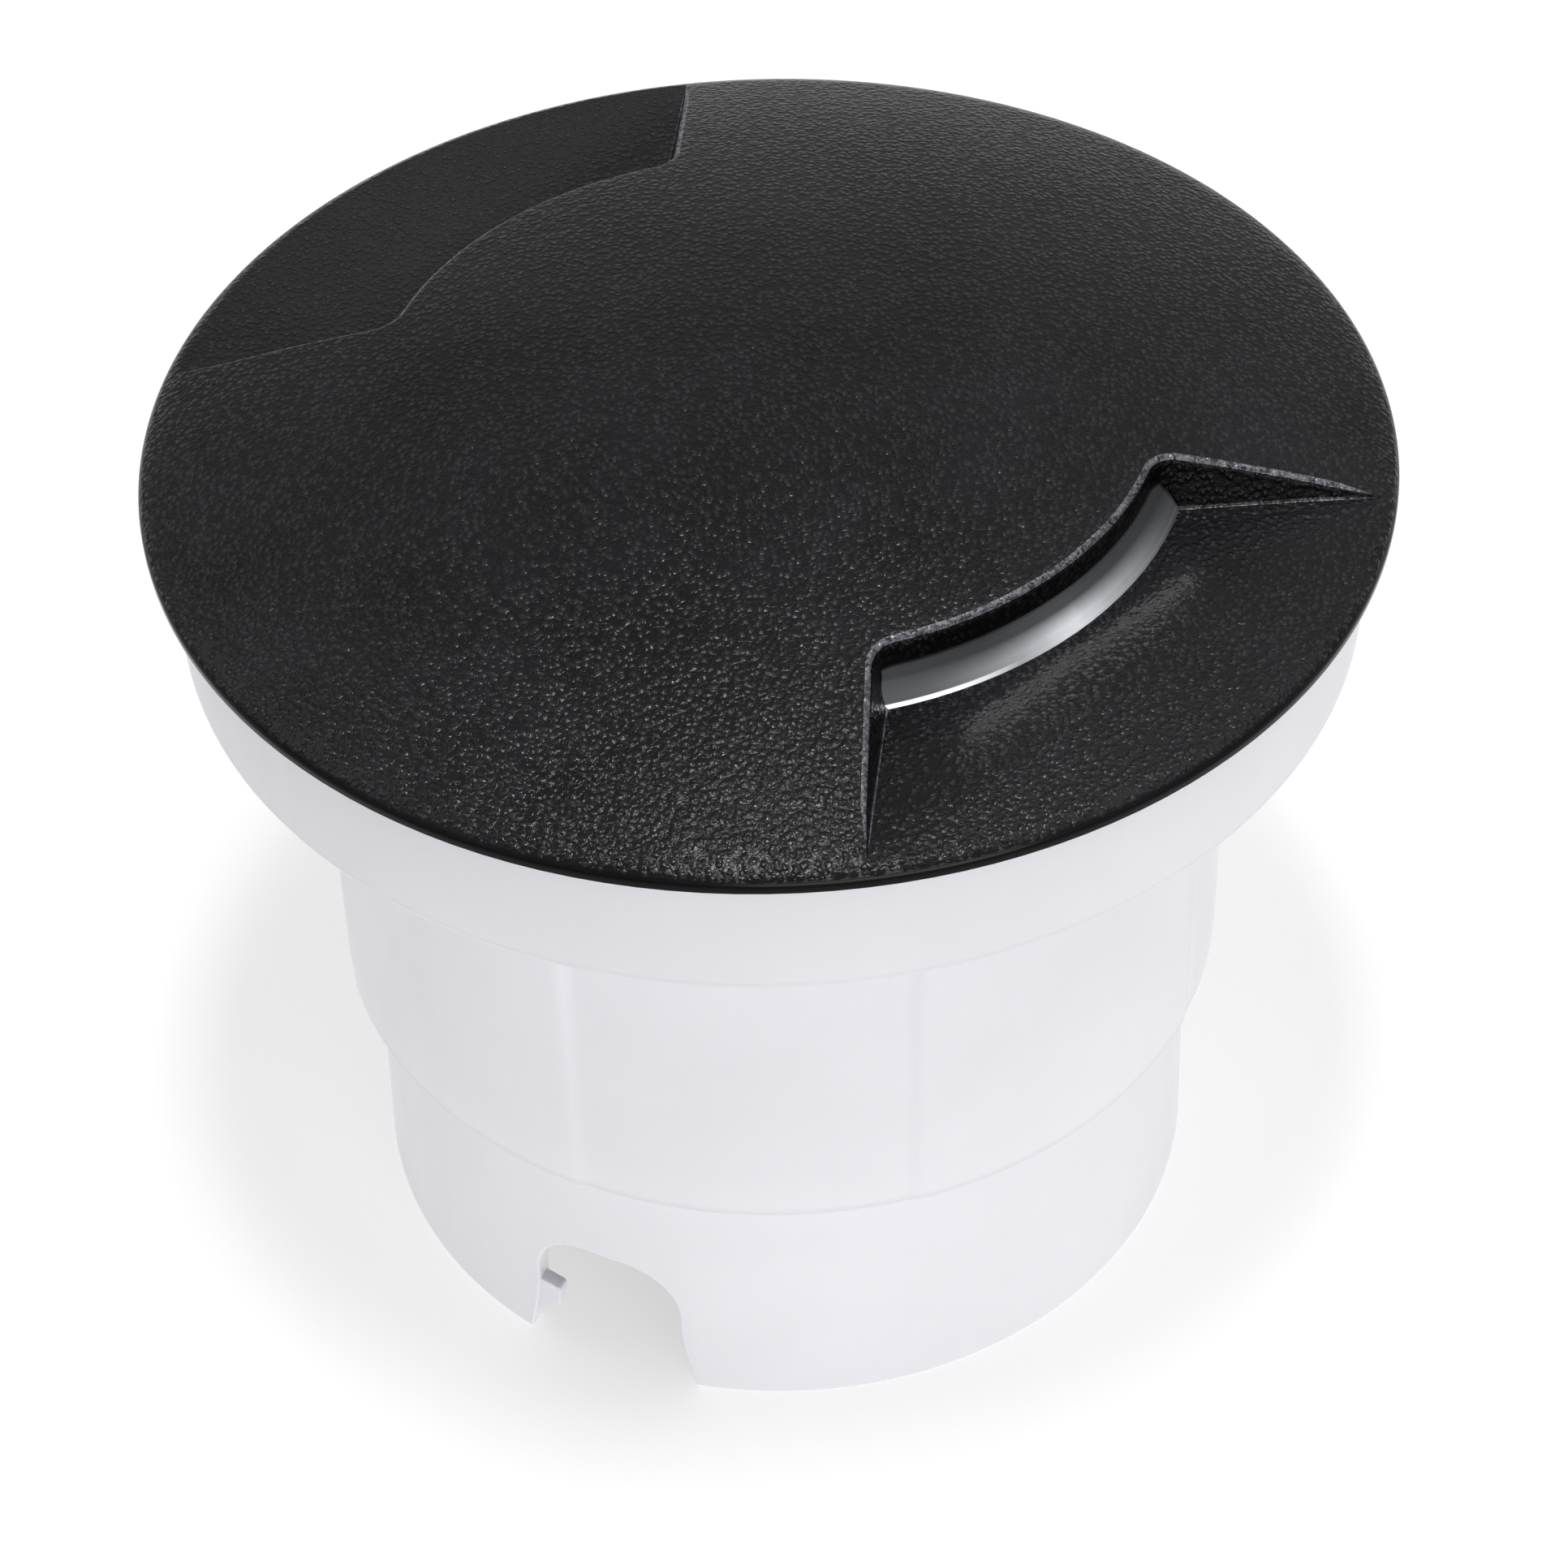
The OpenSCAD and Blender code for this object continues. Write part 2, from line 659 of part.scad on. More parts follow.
// Flat outline of a pocket that opens along +x, with rounded inner corners
module pocket_outline() {
    centre_apex = pocket_apex + pocket_corner_r / sin(pocket_angle);
    centre = [centre_apex, 0] + polar(along(centre_apex, roof_edge_r + pocket_corner_r), pocket_angle);
    centre_turn = atan2(centre[1], centre[0]);
    sweep = centre_turn + 90 - pocket_angle;
    corner = [for (i = [0 : corner_steps - 1])
        centre + polar(pocket_corner_r, pocket_angle + 90 + sweep * i / corner_steps)];
    half = concat([[pocket_apex, 0] + polar(reach, pocket_angle)], corner,
        [polar(roof_edge_r - lap, centre_turn)]);
    difference() {
        polygon(concat(half, [for (i = [len(half) - 1 : -1 : 0]) [half[i][0], -half[i][1]]]));
        circle(r = roof_edge_r);
    }
}

// Room between the two leaning side walls of a pocket that opens along +x
module leaning_walls() {
    wall_start = along(pocket_apex, roof_edge_r);
    wall_end = along(pocket_apex, cover_r - rim_edge_w);
    fall = dome_z(roof_edge_r) - dome_z(cover_r - rim_edge_w);
    pitch = atan2(fall, wall_end - wall_start);
    difference() {
        translate([0, -reach, pocket_floor_z]) cube([reach, 2 * reach, 2 * dome_rise]);
        for (side = [0, 1]) mirror([0, side, 0])
            translate([pocket_apex, 0, dome_z(roof_edge_r)]) rotate([0, 0, pocket_angle])
                translate([wall_start, 0, 0]) rotate([0, pitch, 0]) rotate([-pocket_draft, 0, 0])
                    translate([-reach / 2, 0, -reach / 2]) cube([2 * reach, reach, reach]);
    }
}

module cover() {
    color([0.16, 0.16, 0.17]) {
        difference() {
            union() {
                difference() {
                    cover_body();
                    cover_cavity();
                }
                for (turn = [-90, 90]) rotate([0, 0, turn]) pocket_bed();
                around(dome_ribs, 180 / dome_ribs) dome_rib();
                tube(gasket_out_r, gasket_in_r, cover_gasket_z, lip_under_z + ring_root);
                tube(skirt_ring_out_r, skirt_ring_r, skirt_ring_z, lip_under_z + ring_root);
            }
            for (turn = [-90, 90]) rotate([0, 0, turn]) pocket_cut();
        }
        around(lug_count)
            ring_part(skirt_ring_r - lug_reach, skirt_ring_r + lap, skirt_ring_z, cover_lug_z, -lug_span / 2,
                lug_span);
    }
}

// Flat outline of the dome's sphere, lowered by drop
module dome_disc(drop) {
    translate([0, crown_z - dome_r - drop]) circle(r = dome_r, $fn = dome_fn);
}

// Domed outer form, solid
module cover_body() {
    bevel_rise = dome_z(cover_r - rim_edge_w) - rim_z + rim_edge_h;
    above_bevel = [cover_r - 3 * rim_edge_w, rim_z - rim_edge_h + 3 * bevel_rise];
    rotate_extrude() intersection() {
        dome_disc(0);
        polygon([
            [0, lip_under_z], [cover_r - lip_edge, lip_under_z], [cover_r, lip_under_z + lip_edge],
            [cover_r, rim_z - rim_edge_h], above_bevel, [above_bevel[0], crown_z + over],
            [0, crown_z + over]
        ]);
    }
}

// Room under the dome
module cover_cavity() {
    rotate_extrude() intersection() {
        dome_disc(shell_t);
        translate([0, lip_under_z - over]) square([cavity_r, 2 * dome_rise]);
    }
}

// Solid stock under and beside a pocket that opens along +x, clear of the lens
module pocket_bed() {
    lean_r = lens_r - lens_lean + gap;
    wall_apex = [pocket_apex - pocket_wall_t / sin(pocket_angle), 0];
    intersection() {
        cover_body();
        difference() {
            translate([0, 0, lip_under_z]) linear_extrude(height = crown_z) difference() {
                polygon([
                    wall_apex, wall_apex + polar(reach, pocket_angle), wall_apex + polar(reach, -pocket_angle)
                ]);
                circle(r = roof_edge_r - pocket_wall_t);
            }
            rotate_extrude() polygon([
                [0, lip_under_z - over], [lens_r + gap, lip_under_z - over], [lens_r + gap, pocket_floor_z],
                [lean_r, lens_top_z], [lean_r, lens_top_z + gap], [0, lens_top_z + gap]
            ]);
        }
    }
}

// Room of a pocket that opens along +x
module pocket_cut() {
    intersection() {
        translate([0, 0, pocket_floor_z]) linear_extrude(height = crown_z) pocket_outline();
        leaning_walls();
    }
}

// Stiffening rib under the dome
module dome_rib() {
    rib_end = roof_edge_r - pocket_wall_t - over;
    intersection() {
        cover_body();
        translate([dome_rib_start, -dome_rib_t / 2, lens_top_z + roof_gap])
            cube([rib_end - dome_rib_start, dome_rib_t, dome_rise]);
    }
}

module cover_gasket() {
    color([0.25, 0.25, 0.26]) tube(gasket_out_r, gasket_in_r, head_z, cover_gasket_z);
}

module lens() {
    lean_r = lens_r - lens_lean;
    color([0.85, 0.88, 0.9, 0.5]) difference() {
        union() {
            rotate_extrude() polygon([
                [0, deflector_z], [lean_r - lens_t, deflector_z],
                [lens_r - lens_t, pocket_floor_z - lens_top_t], [lens_r - lens_t, lens_gasket_z],
                [lens_flange_r, lens_gasket_z], [lens_flange_r, lens_flange_z], [lens_r, lens_flange_z],
                [lens_r, pocket_floor_z], [lean_r, lens_top_z], [0, lens_top_z]
            ]);
            translate([0, 0, lens_top_z - lap])
                cylinder(r = lens_boss_r, h = lens_boss_h + lap, $fn = small_fn);
        }
        translate([0, 0, deflector_z - over])
            cylinder(r = screw_r + screw_gap, h = lens_top_t + lens_boss_h - boss_cap_t + over,
                $fn = small_fn);
    }
}

module lens_gasket() {
    color([0.75, 0.75, 0.73]) tube(lens_flange_r - loose, pot_in_r + 2 * loose, head_z, lens_gasket_z);
}

module retaining_ring() {
    color([0.2, 0.2, 0.21]) difference() {
        union() {
            tube(ring_out_r, ring_in_r, lens_flange_z, ring_z);
            tube(ring_out_r, ring_foot_r, head_z + gap, ring_z);
        }
        around(ring_screw_count, ring_screw_turn) translate([ring_screw_x, 0, ring_z]) screw_seat();
    }
}

module ring_screws() {
    color("silver") around(ring_screw_count, ring_screw_turn) translate([ring_screw_x, 0, ring_z])
        countersunk(small_screw_r, small_head_r, ring_z - head_z + ring_screw_depth - gap);
}

module deflector() {
    color([0.93, 0.93, 0.94]) difference() {
        rotate_extrude() polygon(concat(
            [[0, deflector_z], [deflector_r, deflector_z]],
            [for (p = deflector_flank) [deflector_r * p[0], deflector_z - deflector_h * p[1]]],
            [[deflector_tip_r, deflector_z - deflector_h], [0, deflector_z - deflector_h]]
        ));
        translate([0, 0, deflector_z - deflector_h - over]) {
            cylinder(r = screw_r + screw_gap, h = deflector_h + 2 * over, $fn = small_fn);
            cylinder(r = deflector_head_r + screw_gap, h = deflector_bore + over, $fn = small_fn);
        }
    }
}

module deflector_screw() {
    color("silver") translate([0, 0, deflector_z - deflector_h + deflector_bore]) rotate([180, 0, 0])
        pan_screw(screw_r, deflector_head_r,
            deflector_h - deflector_bore + lens_top_t + lens_boss_h - boss_cap_t - 2 * lap);
}

module lamp_housing() {
    color("white") {
        rotate_extrude() polygon([
            [0, lamp_boss_z], [lamp_boss_r, lamp_boss_z], [lamp_boss_r, lamp_base_z], [lamp_r, lamp_base_z],
            [lamp_r, lamp_rim_z], [lamp_r - lamp_t, lamp_rim_z], [lamp_r - lamp_t, led_board_z],
            [led_board_r - lamp_t, led_board_z], [led_board_r - lamp_t, lamp_base_z + lamp_t],
            [lamp_boss_r - lamp_t, lamp_base_z + lamp_t], [lamp_boss_r - lamp_t, lamp_boss_z + lamp_t],
            [0, lamp_boss_z + lamp_t]
        ]);
        around(3) translate([driver_stud_x, 0, lamp_boss_z + lamp_t - lap])
            cylinder(r = driver_stud_r, h = driver_board_z - lamp_boss_z - lamp_t + lap, $fn = small_fn);
    }
}

module lamp_diffuser() {
    rim_in_r = lamp_r - lamp_t - 2 * loose;
    outer = [for (p = diffuser_crown) [lamp_r * p[0], lamp_top_z - diffuser_edge_drop * p[1]]];
    inner = [for (i = [len(outer) - 1 : -1 : 0]) outer[i] - [0, diffuser_t]];
    color([0.96, 0.96, 0.94]) rotate_extrude() polygon(concat(
        [[0, lamp_top_z - diffuser_t], [0, lamp_top_z]], outer,
        [
            [lamp_r, lamp_top_z - diffuser_edge_drop], [lamp_r, lamp_rim_z], [rim_in_r, lamp_rim_z],
            [rim_in_r, lamp_rim_z - diffuser_lip_h], [rim_in_r - diffuser_t, lamp_rim_z - diffuser_lip_h],
            [rim_in_r - diffuser_t, lamp_rim_z]
        ],
        inner
    ));
}

module led_board() {
    color([0.9, 0.9, 0.88]) {
        translate([0, 0, led_board_z]) cylinder(r = led_board_r, h = led_board_t);
        around(led_count) translate([led_ring_r - led_w / 2, -led_w / 2, led_board_z + led_board_t - lap])
            cube([led_w, led_w, led_h + lap]);
    }
}

module driver_board() {
    top = driver_board_z + driver_board_t - lap;
    color([0.1, 0.35, 0.2]) {
        translate([0, 0, driver_board_z]) cylinder(r = driver_board_r, h = driver_board_t);
        translate([coil_x, coil_y, top]) cylinder(r = coil_r, h = coil_h, $fn = small_fn);
        translate([filter_x, filter_x, top]) cube([filter_w, filter_w, filter_h]);
        translate([bridge_x, bridge_y, top]) cube([bridge_l, bridge_w, bridge_h]);
        translate([chip_x, chip_y, top]) cube([chip_l, chip_w, chip_h]);
    }
}

module lamp_pins() {
    color([0.8, 0.65, 0.35]) both_ways() translate([pin_x, 0, lamp_base_z - pin_drop - pin_head_h]) {
        cylinder(r = pin_r, h = pin_drop + pin_head_h, $fn = small_fn);
        cylinder(r = pin_head_r, h = pin_head_h, $fn = small_fn);
    }
}

module lampholder() {
    color([0.93, 0.93, 0.91]) difference() {
        union() {
            tube(lamp_r, holder_bore_r, holder_step_z, holder_top_z);
            tube(holder_foot_r, holder_bore_r, holder_z, holder_step_z + lap);
            holder_screw_places() translate([0, 0, holder_z])
                cylinder(r = holder_boss_r, h = holder_step_z - holder_z + lap, $fn = small_fn);
        }
        both_ways() {
            ring_part(chamber_in_r, chamber_out_r, chamber_z, chamber_top_z, chamber_from,
                chamber_to - chamber_from);
            pin_slot();
            lead_passage();
        }
        holder_screw_places() {
            translate([0, 0, holder_z - over])
                cylinder(r = screw_r + loose, h = holder_h + 2 * over, $fn = small_fn);
            translate([0, 0, holder_seat_z]) cylinder(r = pan_head_r + gap, h = holder_h, $fn = small_fn);
        }
    }
}

module holder_screw_places() {
    around(holder_screw_count, holder_screw_turn) translate([holder_screw_x, 0, 0]) children();
}

// Keyhole slot: the pin's head drops through the round end and its shank turns along the arc
module pin_slot() {
    slot_h = holder_top_t + 2 * over;
    ring_part(pin_x - slot_r, pin_x + slot_r, chamber_top_z - over, holder_top_z + over, -lamp_turn,
        lamp_turn);
    translate([pin_x, 0, chamber_top_z - over]) cylinder(r = slot_r, h = slot_h, $fn = small_fn);
    rotate([0, 0, -lamp_turn]) translate([pin_x, 0, chamber_top_z - over])
        cylinder(r = keyhole_r, h = slot_h, $fn = small_fn);
}

module lead_passage() {
    start_x = holder_bore_r / 2;
    translate([start_x, lead_run_y, lead_run_z]) rotate([0, 90, 0])
        cylinder(r = lead_r + 2 * loose, h = contact_in_r - start_x, $fn = small_fn);
}

module holder_contacts() {
    color([0.8, 0.62, 0.3]) both_ways()
        ring_part(contact_in_r, contact_out_r, chamber_z, contact_top_z, contact_from,
            contact_to - contact_from);
}

module holder_screws() {
    color("silver") holder_screw_places() translate([0, 0, holder_seat_z])
        pan_screw(screw_r, pan_head_r, holder_seat_z - plate_z + screw_r);
}

module mounting_plate() {
    color([0.7, 0.72, 0.74]) difference() {
        translate([0, 0, plate_z]) cylinder(r = plate_r, h = plate_t);
        translate([0, 0, plate_z - over]) {
            around(post_count, 90) translate([post_x, 0, 0])
                cylinder(r = screw_r + loose, h = plate_t + 2 * over, $fn = small_fn);
            holder_screw_places() cylinder(r = screw_r + screw_gap, h = plate_t + 2 * over, $fn = small_fn);
            both_ways() translate([pole_x, lead_run_y, 0])
                cylinder(r = plate_hole_r, h = plate_t + 2 * over, $fn = small_fn);
            cylinder(r = plate_bore_r, h = plate_t + 2 * over);
        }
    }
}

module plate_screws() {
    color("silver") around(post_count, 90) translate([post_x, 0, plate_z + plate_t])
        pan_screw(screw_r, pan_head_r, plate_screw_l);
}

module terminal_block() {
    color([0.88, 0.88, 0.85]) difference() {
        translate([-terminal_w / 2, -terminal_l / 2, pot_floor_z]) cube([terminal_w, terminal_l, terminal_h]);
        for (side = [-1, 1]) {
            translate([side * pole_x, 0, pole_z]) rotate([90, 0, 0])
                cylinder(r = insert_r + screw_gap, h = terminal_l + 2 * over, center = true, $fn = small_fn);
            for (y = [-clamp_y, clamp_y]) translate([side * pole_x, y, pole_z])
                cylinder(r = clamp_head_r + loose, h = terminal_h, $fn = small_fn);
        }
        translate([0, 0, pot_floor_z - over])
            cylinder(r = small_screw_r + loose, h = terminal_h + 2 * over, $fn = small_fn);
        translate([0, 0, fixing_head_z]) cylinder(r = small_head_r + loose, h = terminal_h, $fn = small_fn);
        for (y = [-terminal_l / 2, terminal_l / 2]) translate([0, y, terminal_z - end_relief_depth])
            cylinder(r = end_relief_r, h = end_relief_depth + over, $fn = small_fn);
    }
}

module terminal_inserts() {
    color([0.82, 0.66, 0.34]) for (side = [-1, 1]) translate([side * pole_x, 0, pole_z]) difference() {
        rotate([90, 0, 0]) cylinder(r = insert_r, h = insert_l, center = true, $fn = small_fn);
        rotate([90, 0, 0])
            cylinder(r = insert_bore_r, h = insert_l + 2 * over, center = true, $fn = small_fn);
        for (y = [-clamp_y, clamp_y]) translate([0, y, 0])
            cylinder(r = screw_r + screw_gap, h = insert_r + over, $fn = small_fn);
    }
}

module clamp_screws() {
    color("silver") for (side = [-1, 1]) for (y = [-clamp_y, clamp_y])
        translate([side * pole_x, y, 0]) difference() {
            union() {
                translate([0, 0, clamp_tip_z])
                    cylinder(r = screw_r, h = clamp_head_z - clamp_tip_z, $fn = small_fn);
                translate([0, 0, clamp_neck_z])
                    cylinder(r = clamp_head_r, h = clamp_head_z - clamp_neck_z, $fn = small_fn);
            }
            translate([-clamp_head_r - over, -clamp_slot_w / 2, clamp_head_z - clamp_slot_depth])
                cube([2 * (clamp_head_r + over), clamp_slot_w, clamp_slot_depth + over]);
        }
}

module terminal_screw() {
    color("silver") translate([0, 0, fixing_head_z])
        pan_screw(small_screw_r, small_head_r, fixing_head_z - fixing_tip_z);
}

// Insulated wire from the terminal up through the mounting plate and across to its contact
module lead() {
    translate([pole_x, lead_start_y, pole_z]) rotate([-90, 0, 0])
        cylinder(r = lead_r, h = lead_turn_y - lead_start_y, $fn = small_fn);
    translate([pole_x, lead_turn_y, pole_z + lead_bend_r]) rotate([0, 90, 0]) quarter_bend();
    translate([pole_x, lead_run_y, pole_z + lead_bend_r])
        cylinder(r = lead_r, h = lead_run_z - pole_z - 2 * lead_bend_r, $fn = small_fn);
    translate([pole_x + lead_bend_r, lead_run_y, lead_run_z - lead_bend_r]) rotate([90, 0, 180])
        quarter_bend();
    translate([pole_x + lead_bend_r, lead_run_y, lead_run_z]) rotate([0, 90, 0])
        cylinder(r = lead_r, h = lead_end_x - pole_x - lead_bend_r, $fn = small_fn);
}

module quarter_bend() {
    rotate_extrude(angle = 90) translate([lead_bend_r, 0]) circle(r = lead_r, $fn = small_fn);
}

module lead_brown() {
    color([0.42, 0.24, 0.13]) lead();
}

module lead_blue() {
    color([0.15, 0.35, 0.75]) rotate([0, 0, 180]) lead();
}

// Six-sided nut or collar
module hexagon(r, z0, z1) {
    translate([0, 0, z0]) cylinder(r = r, h = z1 - z0, $fn = 6);
}

module at_entry(side) {
    translate([side * entry_x, 0, 0]) children();
}

module gland_body() {
    color([0.15, 0.15, 0.16]) at_entry(-1) difference() {
        union() {
            translate([0, 0, hex_z]) cylinder(r = gland_thread_r, h = gland_stub_z - hex_z);
            hexagon(hex_r, hex_z, hex_z + hex_h);
            translate([0, 0, gland_neck_z]) cylinder(r = gland_neck_r, h = gland_neck_h + over);
        }
        translate([0, 0, gland_neck_z - over]) {
            cylinder(r = gland_bore_r, h = gland_stub_z - gland_neck_z + 2 * over);
            cylinder(r = seal_r + 2 * loose, h = seal_z + seal_h - gland_neck_z + over + 2 * loose);
        }
    }
}

module gland_seal() {
    color([0.35, 0.35, 0.36]) at_entry(-1) tube(seal_r, cable_hole_r, seal_z, seal_z + seal_h);
}

module gland_cap_nut() {
    color([0.15, 0.15, 0.16]) at_entry(-1) difference() {
        union() {
            translate([0, 0, cap_nut_z])
                cylinder(r1 = cap_round_r - cap_edge, r2 = cap_round_r, h = cap_edge_h);
            translate([0, 0, cap_nut_z + cap_edge_h]) cylinder(r = cap_round_r, h = cap_nut_h - cap_edge_h);
            hexagon(cap_nut_r, cap_nut_z + cap_collar_h, cap_nut_z + cap_nut_h);
        }
        translate([0, 0, cap_nut_z - over]) cylinder(r = gland_bore_r, h = cap_nut_h + 2 * over);
        translate([0, 0, seal_z]) cylinder(r = gland_neck_r + screw_gap, h = cap_nut_h);
    }
}

module lock_nuts() {
    color([0.15, 0.15, 0.16]) for (side = [-1, 1]) at_entry(side) difference() {
        hexagon(hex_r, pot_floor_z, pot_floor_z + lock_nut_h);
        translate([0, 0, pot_floor_z - over])
            cylinder(r = gland_thread_r + screw_gap, h = lock_nut_h + 2 * over);
    }
}

module entry_seals() {
    color([0.3, 0.3, 0.31]) for (side = [-1, 1]) at_entry(side)
        tube(gland_thread_r + entry_seal_t, gland_thread_r + loose, pot_bottom_z - entry_seal_t,
            pot_bottom_z);
}

module blanking_plug() {
    color([0.15, 0.15, 0.16]) at_entry(1) difference() {
        union() {
            translate([0, 0, hex_z]) cylinder(r = gland_thread_r, h = gland_stub_z - hex_z);
            hexagon(hex_r, hex_z, hex_z + hex_h);
        }
        translate([-plug_slot_l / 2, -plug_slot_w / 2, hex_z - over])
            cube([plug_slot_l, plug_slot_w, plug_slot_depth + over]);
        translate([0, 0, hex_z + hex_h]) cylinder(r = gland_thread_r - plug_t, h = gland_stub_z);
    }
}

sleeve();
housing();
housing_screws();
cover();
cover_gasket();
lens();
lens_gasket();
retaining_ring();
ring_screws();
deflector();
deflector_screw();
lamp_housing();
lamp_diffuser();
led_board();
driver_board();
lamp_pins();
lampholder();
holder_contacts();
holder_screws();
mounting_plate();
plate_screws();
terminal_block();
terminal_inserts();
clamp_screws();
terminal_screw();
lead_brown();
lead_blue();
gland_body();
gland_seal();
gland_cap_nut();
lock_nuts();
entry_seals();
blanking_plug();
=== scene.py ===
"""Looks of a walk-over in-ground light: black domed cover with two side windows, white sleeve."""

import json
import math

import bmesh
import bpy
from bpy.props import FloatProperty, FloatVectorProperty, IntProperty, PointerProperty
from bpy.types import Operator, Panel, PropertyGroup
from mathutils import Matrix, Vector


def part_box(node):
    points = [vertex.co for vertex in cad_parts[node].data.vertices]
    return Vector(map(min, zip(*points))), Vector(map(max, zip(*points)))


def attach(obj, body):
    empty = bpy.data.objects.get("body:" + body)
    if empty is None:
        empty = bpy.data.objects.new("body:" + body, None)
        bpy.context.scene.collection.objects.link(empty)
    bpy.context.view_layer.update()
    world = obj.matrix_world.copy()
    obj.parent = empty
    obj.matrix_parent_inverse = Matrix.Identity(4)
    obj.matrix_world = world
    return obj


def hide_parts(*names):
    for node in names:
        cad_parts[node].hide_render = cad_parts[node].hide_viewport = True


bl_info = {
    "name": "In-ground light",
    "version": (1, 0, 0),
    "blender": (4, 5, 0),
    "location": "3D View > Sidebar > In-ground light",
    "description": "Dresses the packed in-ground light with finished surfaces, materials, lamps and camera",
    "category": "Object",
}

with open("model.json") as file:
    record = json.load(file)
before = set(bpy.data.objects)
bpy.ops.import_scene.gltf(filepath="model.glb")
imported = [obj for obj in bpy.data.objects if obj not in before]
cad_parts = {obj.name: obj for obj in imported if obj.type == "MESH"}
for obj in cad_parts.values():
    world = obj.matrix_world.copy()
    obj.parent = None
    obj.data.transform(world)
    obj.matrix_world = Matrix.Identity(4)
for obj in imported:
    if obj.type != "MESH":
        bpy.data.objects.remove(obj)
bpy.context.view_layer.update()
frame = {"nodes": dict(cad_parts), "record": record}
MM = 0.001


# Sizes and colours that a user would change


def top_of(node):
    """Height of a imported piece's highest point."""
    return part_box(node)[1].z


def radius_of(node):
    """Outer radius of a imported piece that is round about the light's axis."""
    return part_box(node)[1].x


def length(name, description, default, most=0.2):
    """Property for a length in metres."""
    limits = {"min": 0, "max": most}
    looks = {"subtype": "DISTANCE", "unit": "LENGTH", "precision": 5}
    return FloatProperty(name=name, description=description, default=default, **limits, **looks)


def angle(name, description, degrees):
    """Property for an angle, whose default is given in degrees."""
    return FloatProperty(name=name, description=description, default=math.radians(degrees), subtype="ANGLE")


def number(name, description, default, most=10.0):
    """Property for a plain number from 0 upwards."""
    return FloatProperty(name=name, description=description, default=default, min=0, max=most)


def colour(name, description, default):
    """Property for a colour."""
    return FloatVectorProperty(
        name=name, description=description, default=default, size=3, subtype="COLOR", min=0, max=1
    )


class CoverShape(PropertyGroup):
    """Sizes of the cover"""

    radius: length("Radius", "Outer radius of the cover", radius_of("cover"))
    lip_foot: length("Lip underside", "Height of the lip's underside", 89.4 * MM)
    rim: length("Rim", "Height of the lip's upper edge", 91.2 * MM)
    crown: length("Crown", "Height of the crown", top_of("cover"))
    skin_inset: length("Skin inset", "How far the finished skin lies inside the packed shape", 0.02 * MM)
    lip_round: length("Lip rounding", "Radius of the lip's lower edge", 0.45 * MM)
    pocket_floor: length("Recess floor", "Height of the window recesses' floors", 91.65 * MM)
    roof_edge: length("Roof edge", "Radius of the roof edge over each window", 37.8 * MM)
    pocket_apex: length("Recess apex", "Distance from the axis to where the side walls would meet", 15.5 * MM)
    pocket_angle: angle("Recess angle", "Angle between a side wall and the middle of its recess", 46.6)
    pocket_corner: length("Recess corner", "Radius of a recess's inner corners", 3.0 * MM)
    pocket_draft: angle("Recess draft", "Lean of a recess's side walls", 15.0)
    edge_round: length("Edge rounding", "Radius of the recess's upper edge", 0.9 * MM)
    floor_round: length("Floor rounding", "Radius between a recess's side walls and its floor", 0.5 * MM)


class SleeveShape(PropertyGroup):
    """Sizes of the installation sleeve"""

    height: length("Height", "Height of the sleeve", top_of("sleeve"))
    skirt_foot: length("Skirt foot", "Outer radius of the skirt at its foot", 42.9 * MM)
    skirt_top: length("Skirt top", "Outer radius of the skirt under the ledge", 42.3 * MM)
    ledge: length("Ledge", "Height of the ledge under the barrel", 30.3 * MM)
    barrel: length("Barrel", "Outer radius of the barrel between its raised panels", 45.4 * MM)
    flange: length("Flange", "Outer radius of the flange", 57.5 * MM)
    flange_under: length("Flange underside", "Height of the flange's underside", 75.0 * MM)
    wall: length("Wall", "Wall thickness", 2.0 * MM)
    panel_step: length("Panel step", "How far a panel stands out under the flange", 0.9 * MM)
    panel_foot_step: length("Panel foot step", "How far a panel stands out at the ledge", 0.25 * MM)
    panel_turn: angle("Panel direction", "Direction of the middle of the first panel", -93.3)
    panel_span: angle("Panel span", "Angle that a panel covers", 47.5)
    panel_slope: length("Panel slope", "Width of the slope beside a panel under the flange", 1.2 * MM)
    panel_foot_slope: length("Panel foot slope", "Width of the slope beside a panel at the ledge", 1.0 * MM)
    notch_turn: angle("Notch direction", "Direction of the first cable notch", -159.3)
    notch_width: length("Notch width", "Width of a cable notch", 16.0 * MM)
    notch_height: length("Notch height", "Height of a cable notch", 16.5 * MM)
    notch_corner: length("Notch corner", "Radius of a notch's upper corners", 6.2 * MM)
    notch_flare: length("Notch flare", "How far each side of a notch flares out at its foot", 1.5 * MM)
    notch_flare_height: length("Notch flare height", "Height of a notch's flared foot", 8.5 * MM)
    notch_edge: length("Notch edge", "Rounding of a notch's edges", 0.35 * MM)
    nub_height: length("Nub height", "Height of the nub's upper side", 8.4 * MM)
    nub_width: length("Nub width", "How far the nub reaches into its notch", 2.5 * MM)
    steps: IntProperty(name="Steps", description="Steps round the sleeve", default=480, min=96, max=960)


class LightFinish(PropertyGroup):
    """Colours, grain and glow"""

    cover: colour("Cover", "Colour of the grained cover", (0.0088, 0.0084, 0.0100))
    grain: length("Grain", "Size of the cover's grain", 0.55 * MM)
    grain_depth: length("Grain depth", "Depth of the cover's grain", 0.08 * MM)
    sleeve: colour("Sleeve", "Colour of the sleeve", (0.73, 0.72, 0.755))
    # The lens's glow is emission that paints the light of the lamp inside, and its foot line is a painted
    # highlight
    glow: number("Glow", "Brightness of the lit lens", 0.62)
    foot_highlight: number("Foot line", "Brightness of the line along the lens's foot", 1.3)


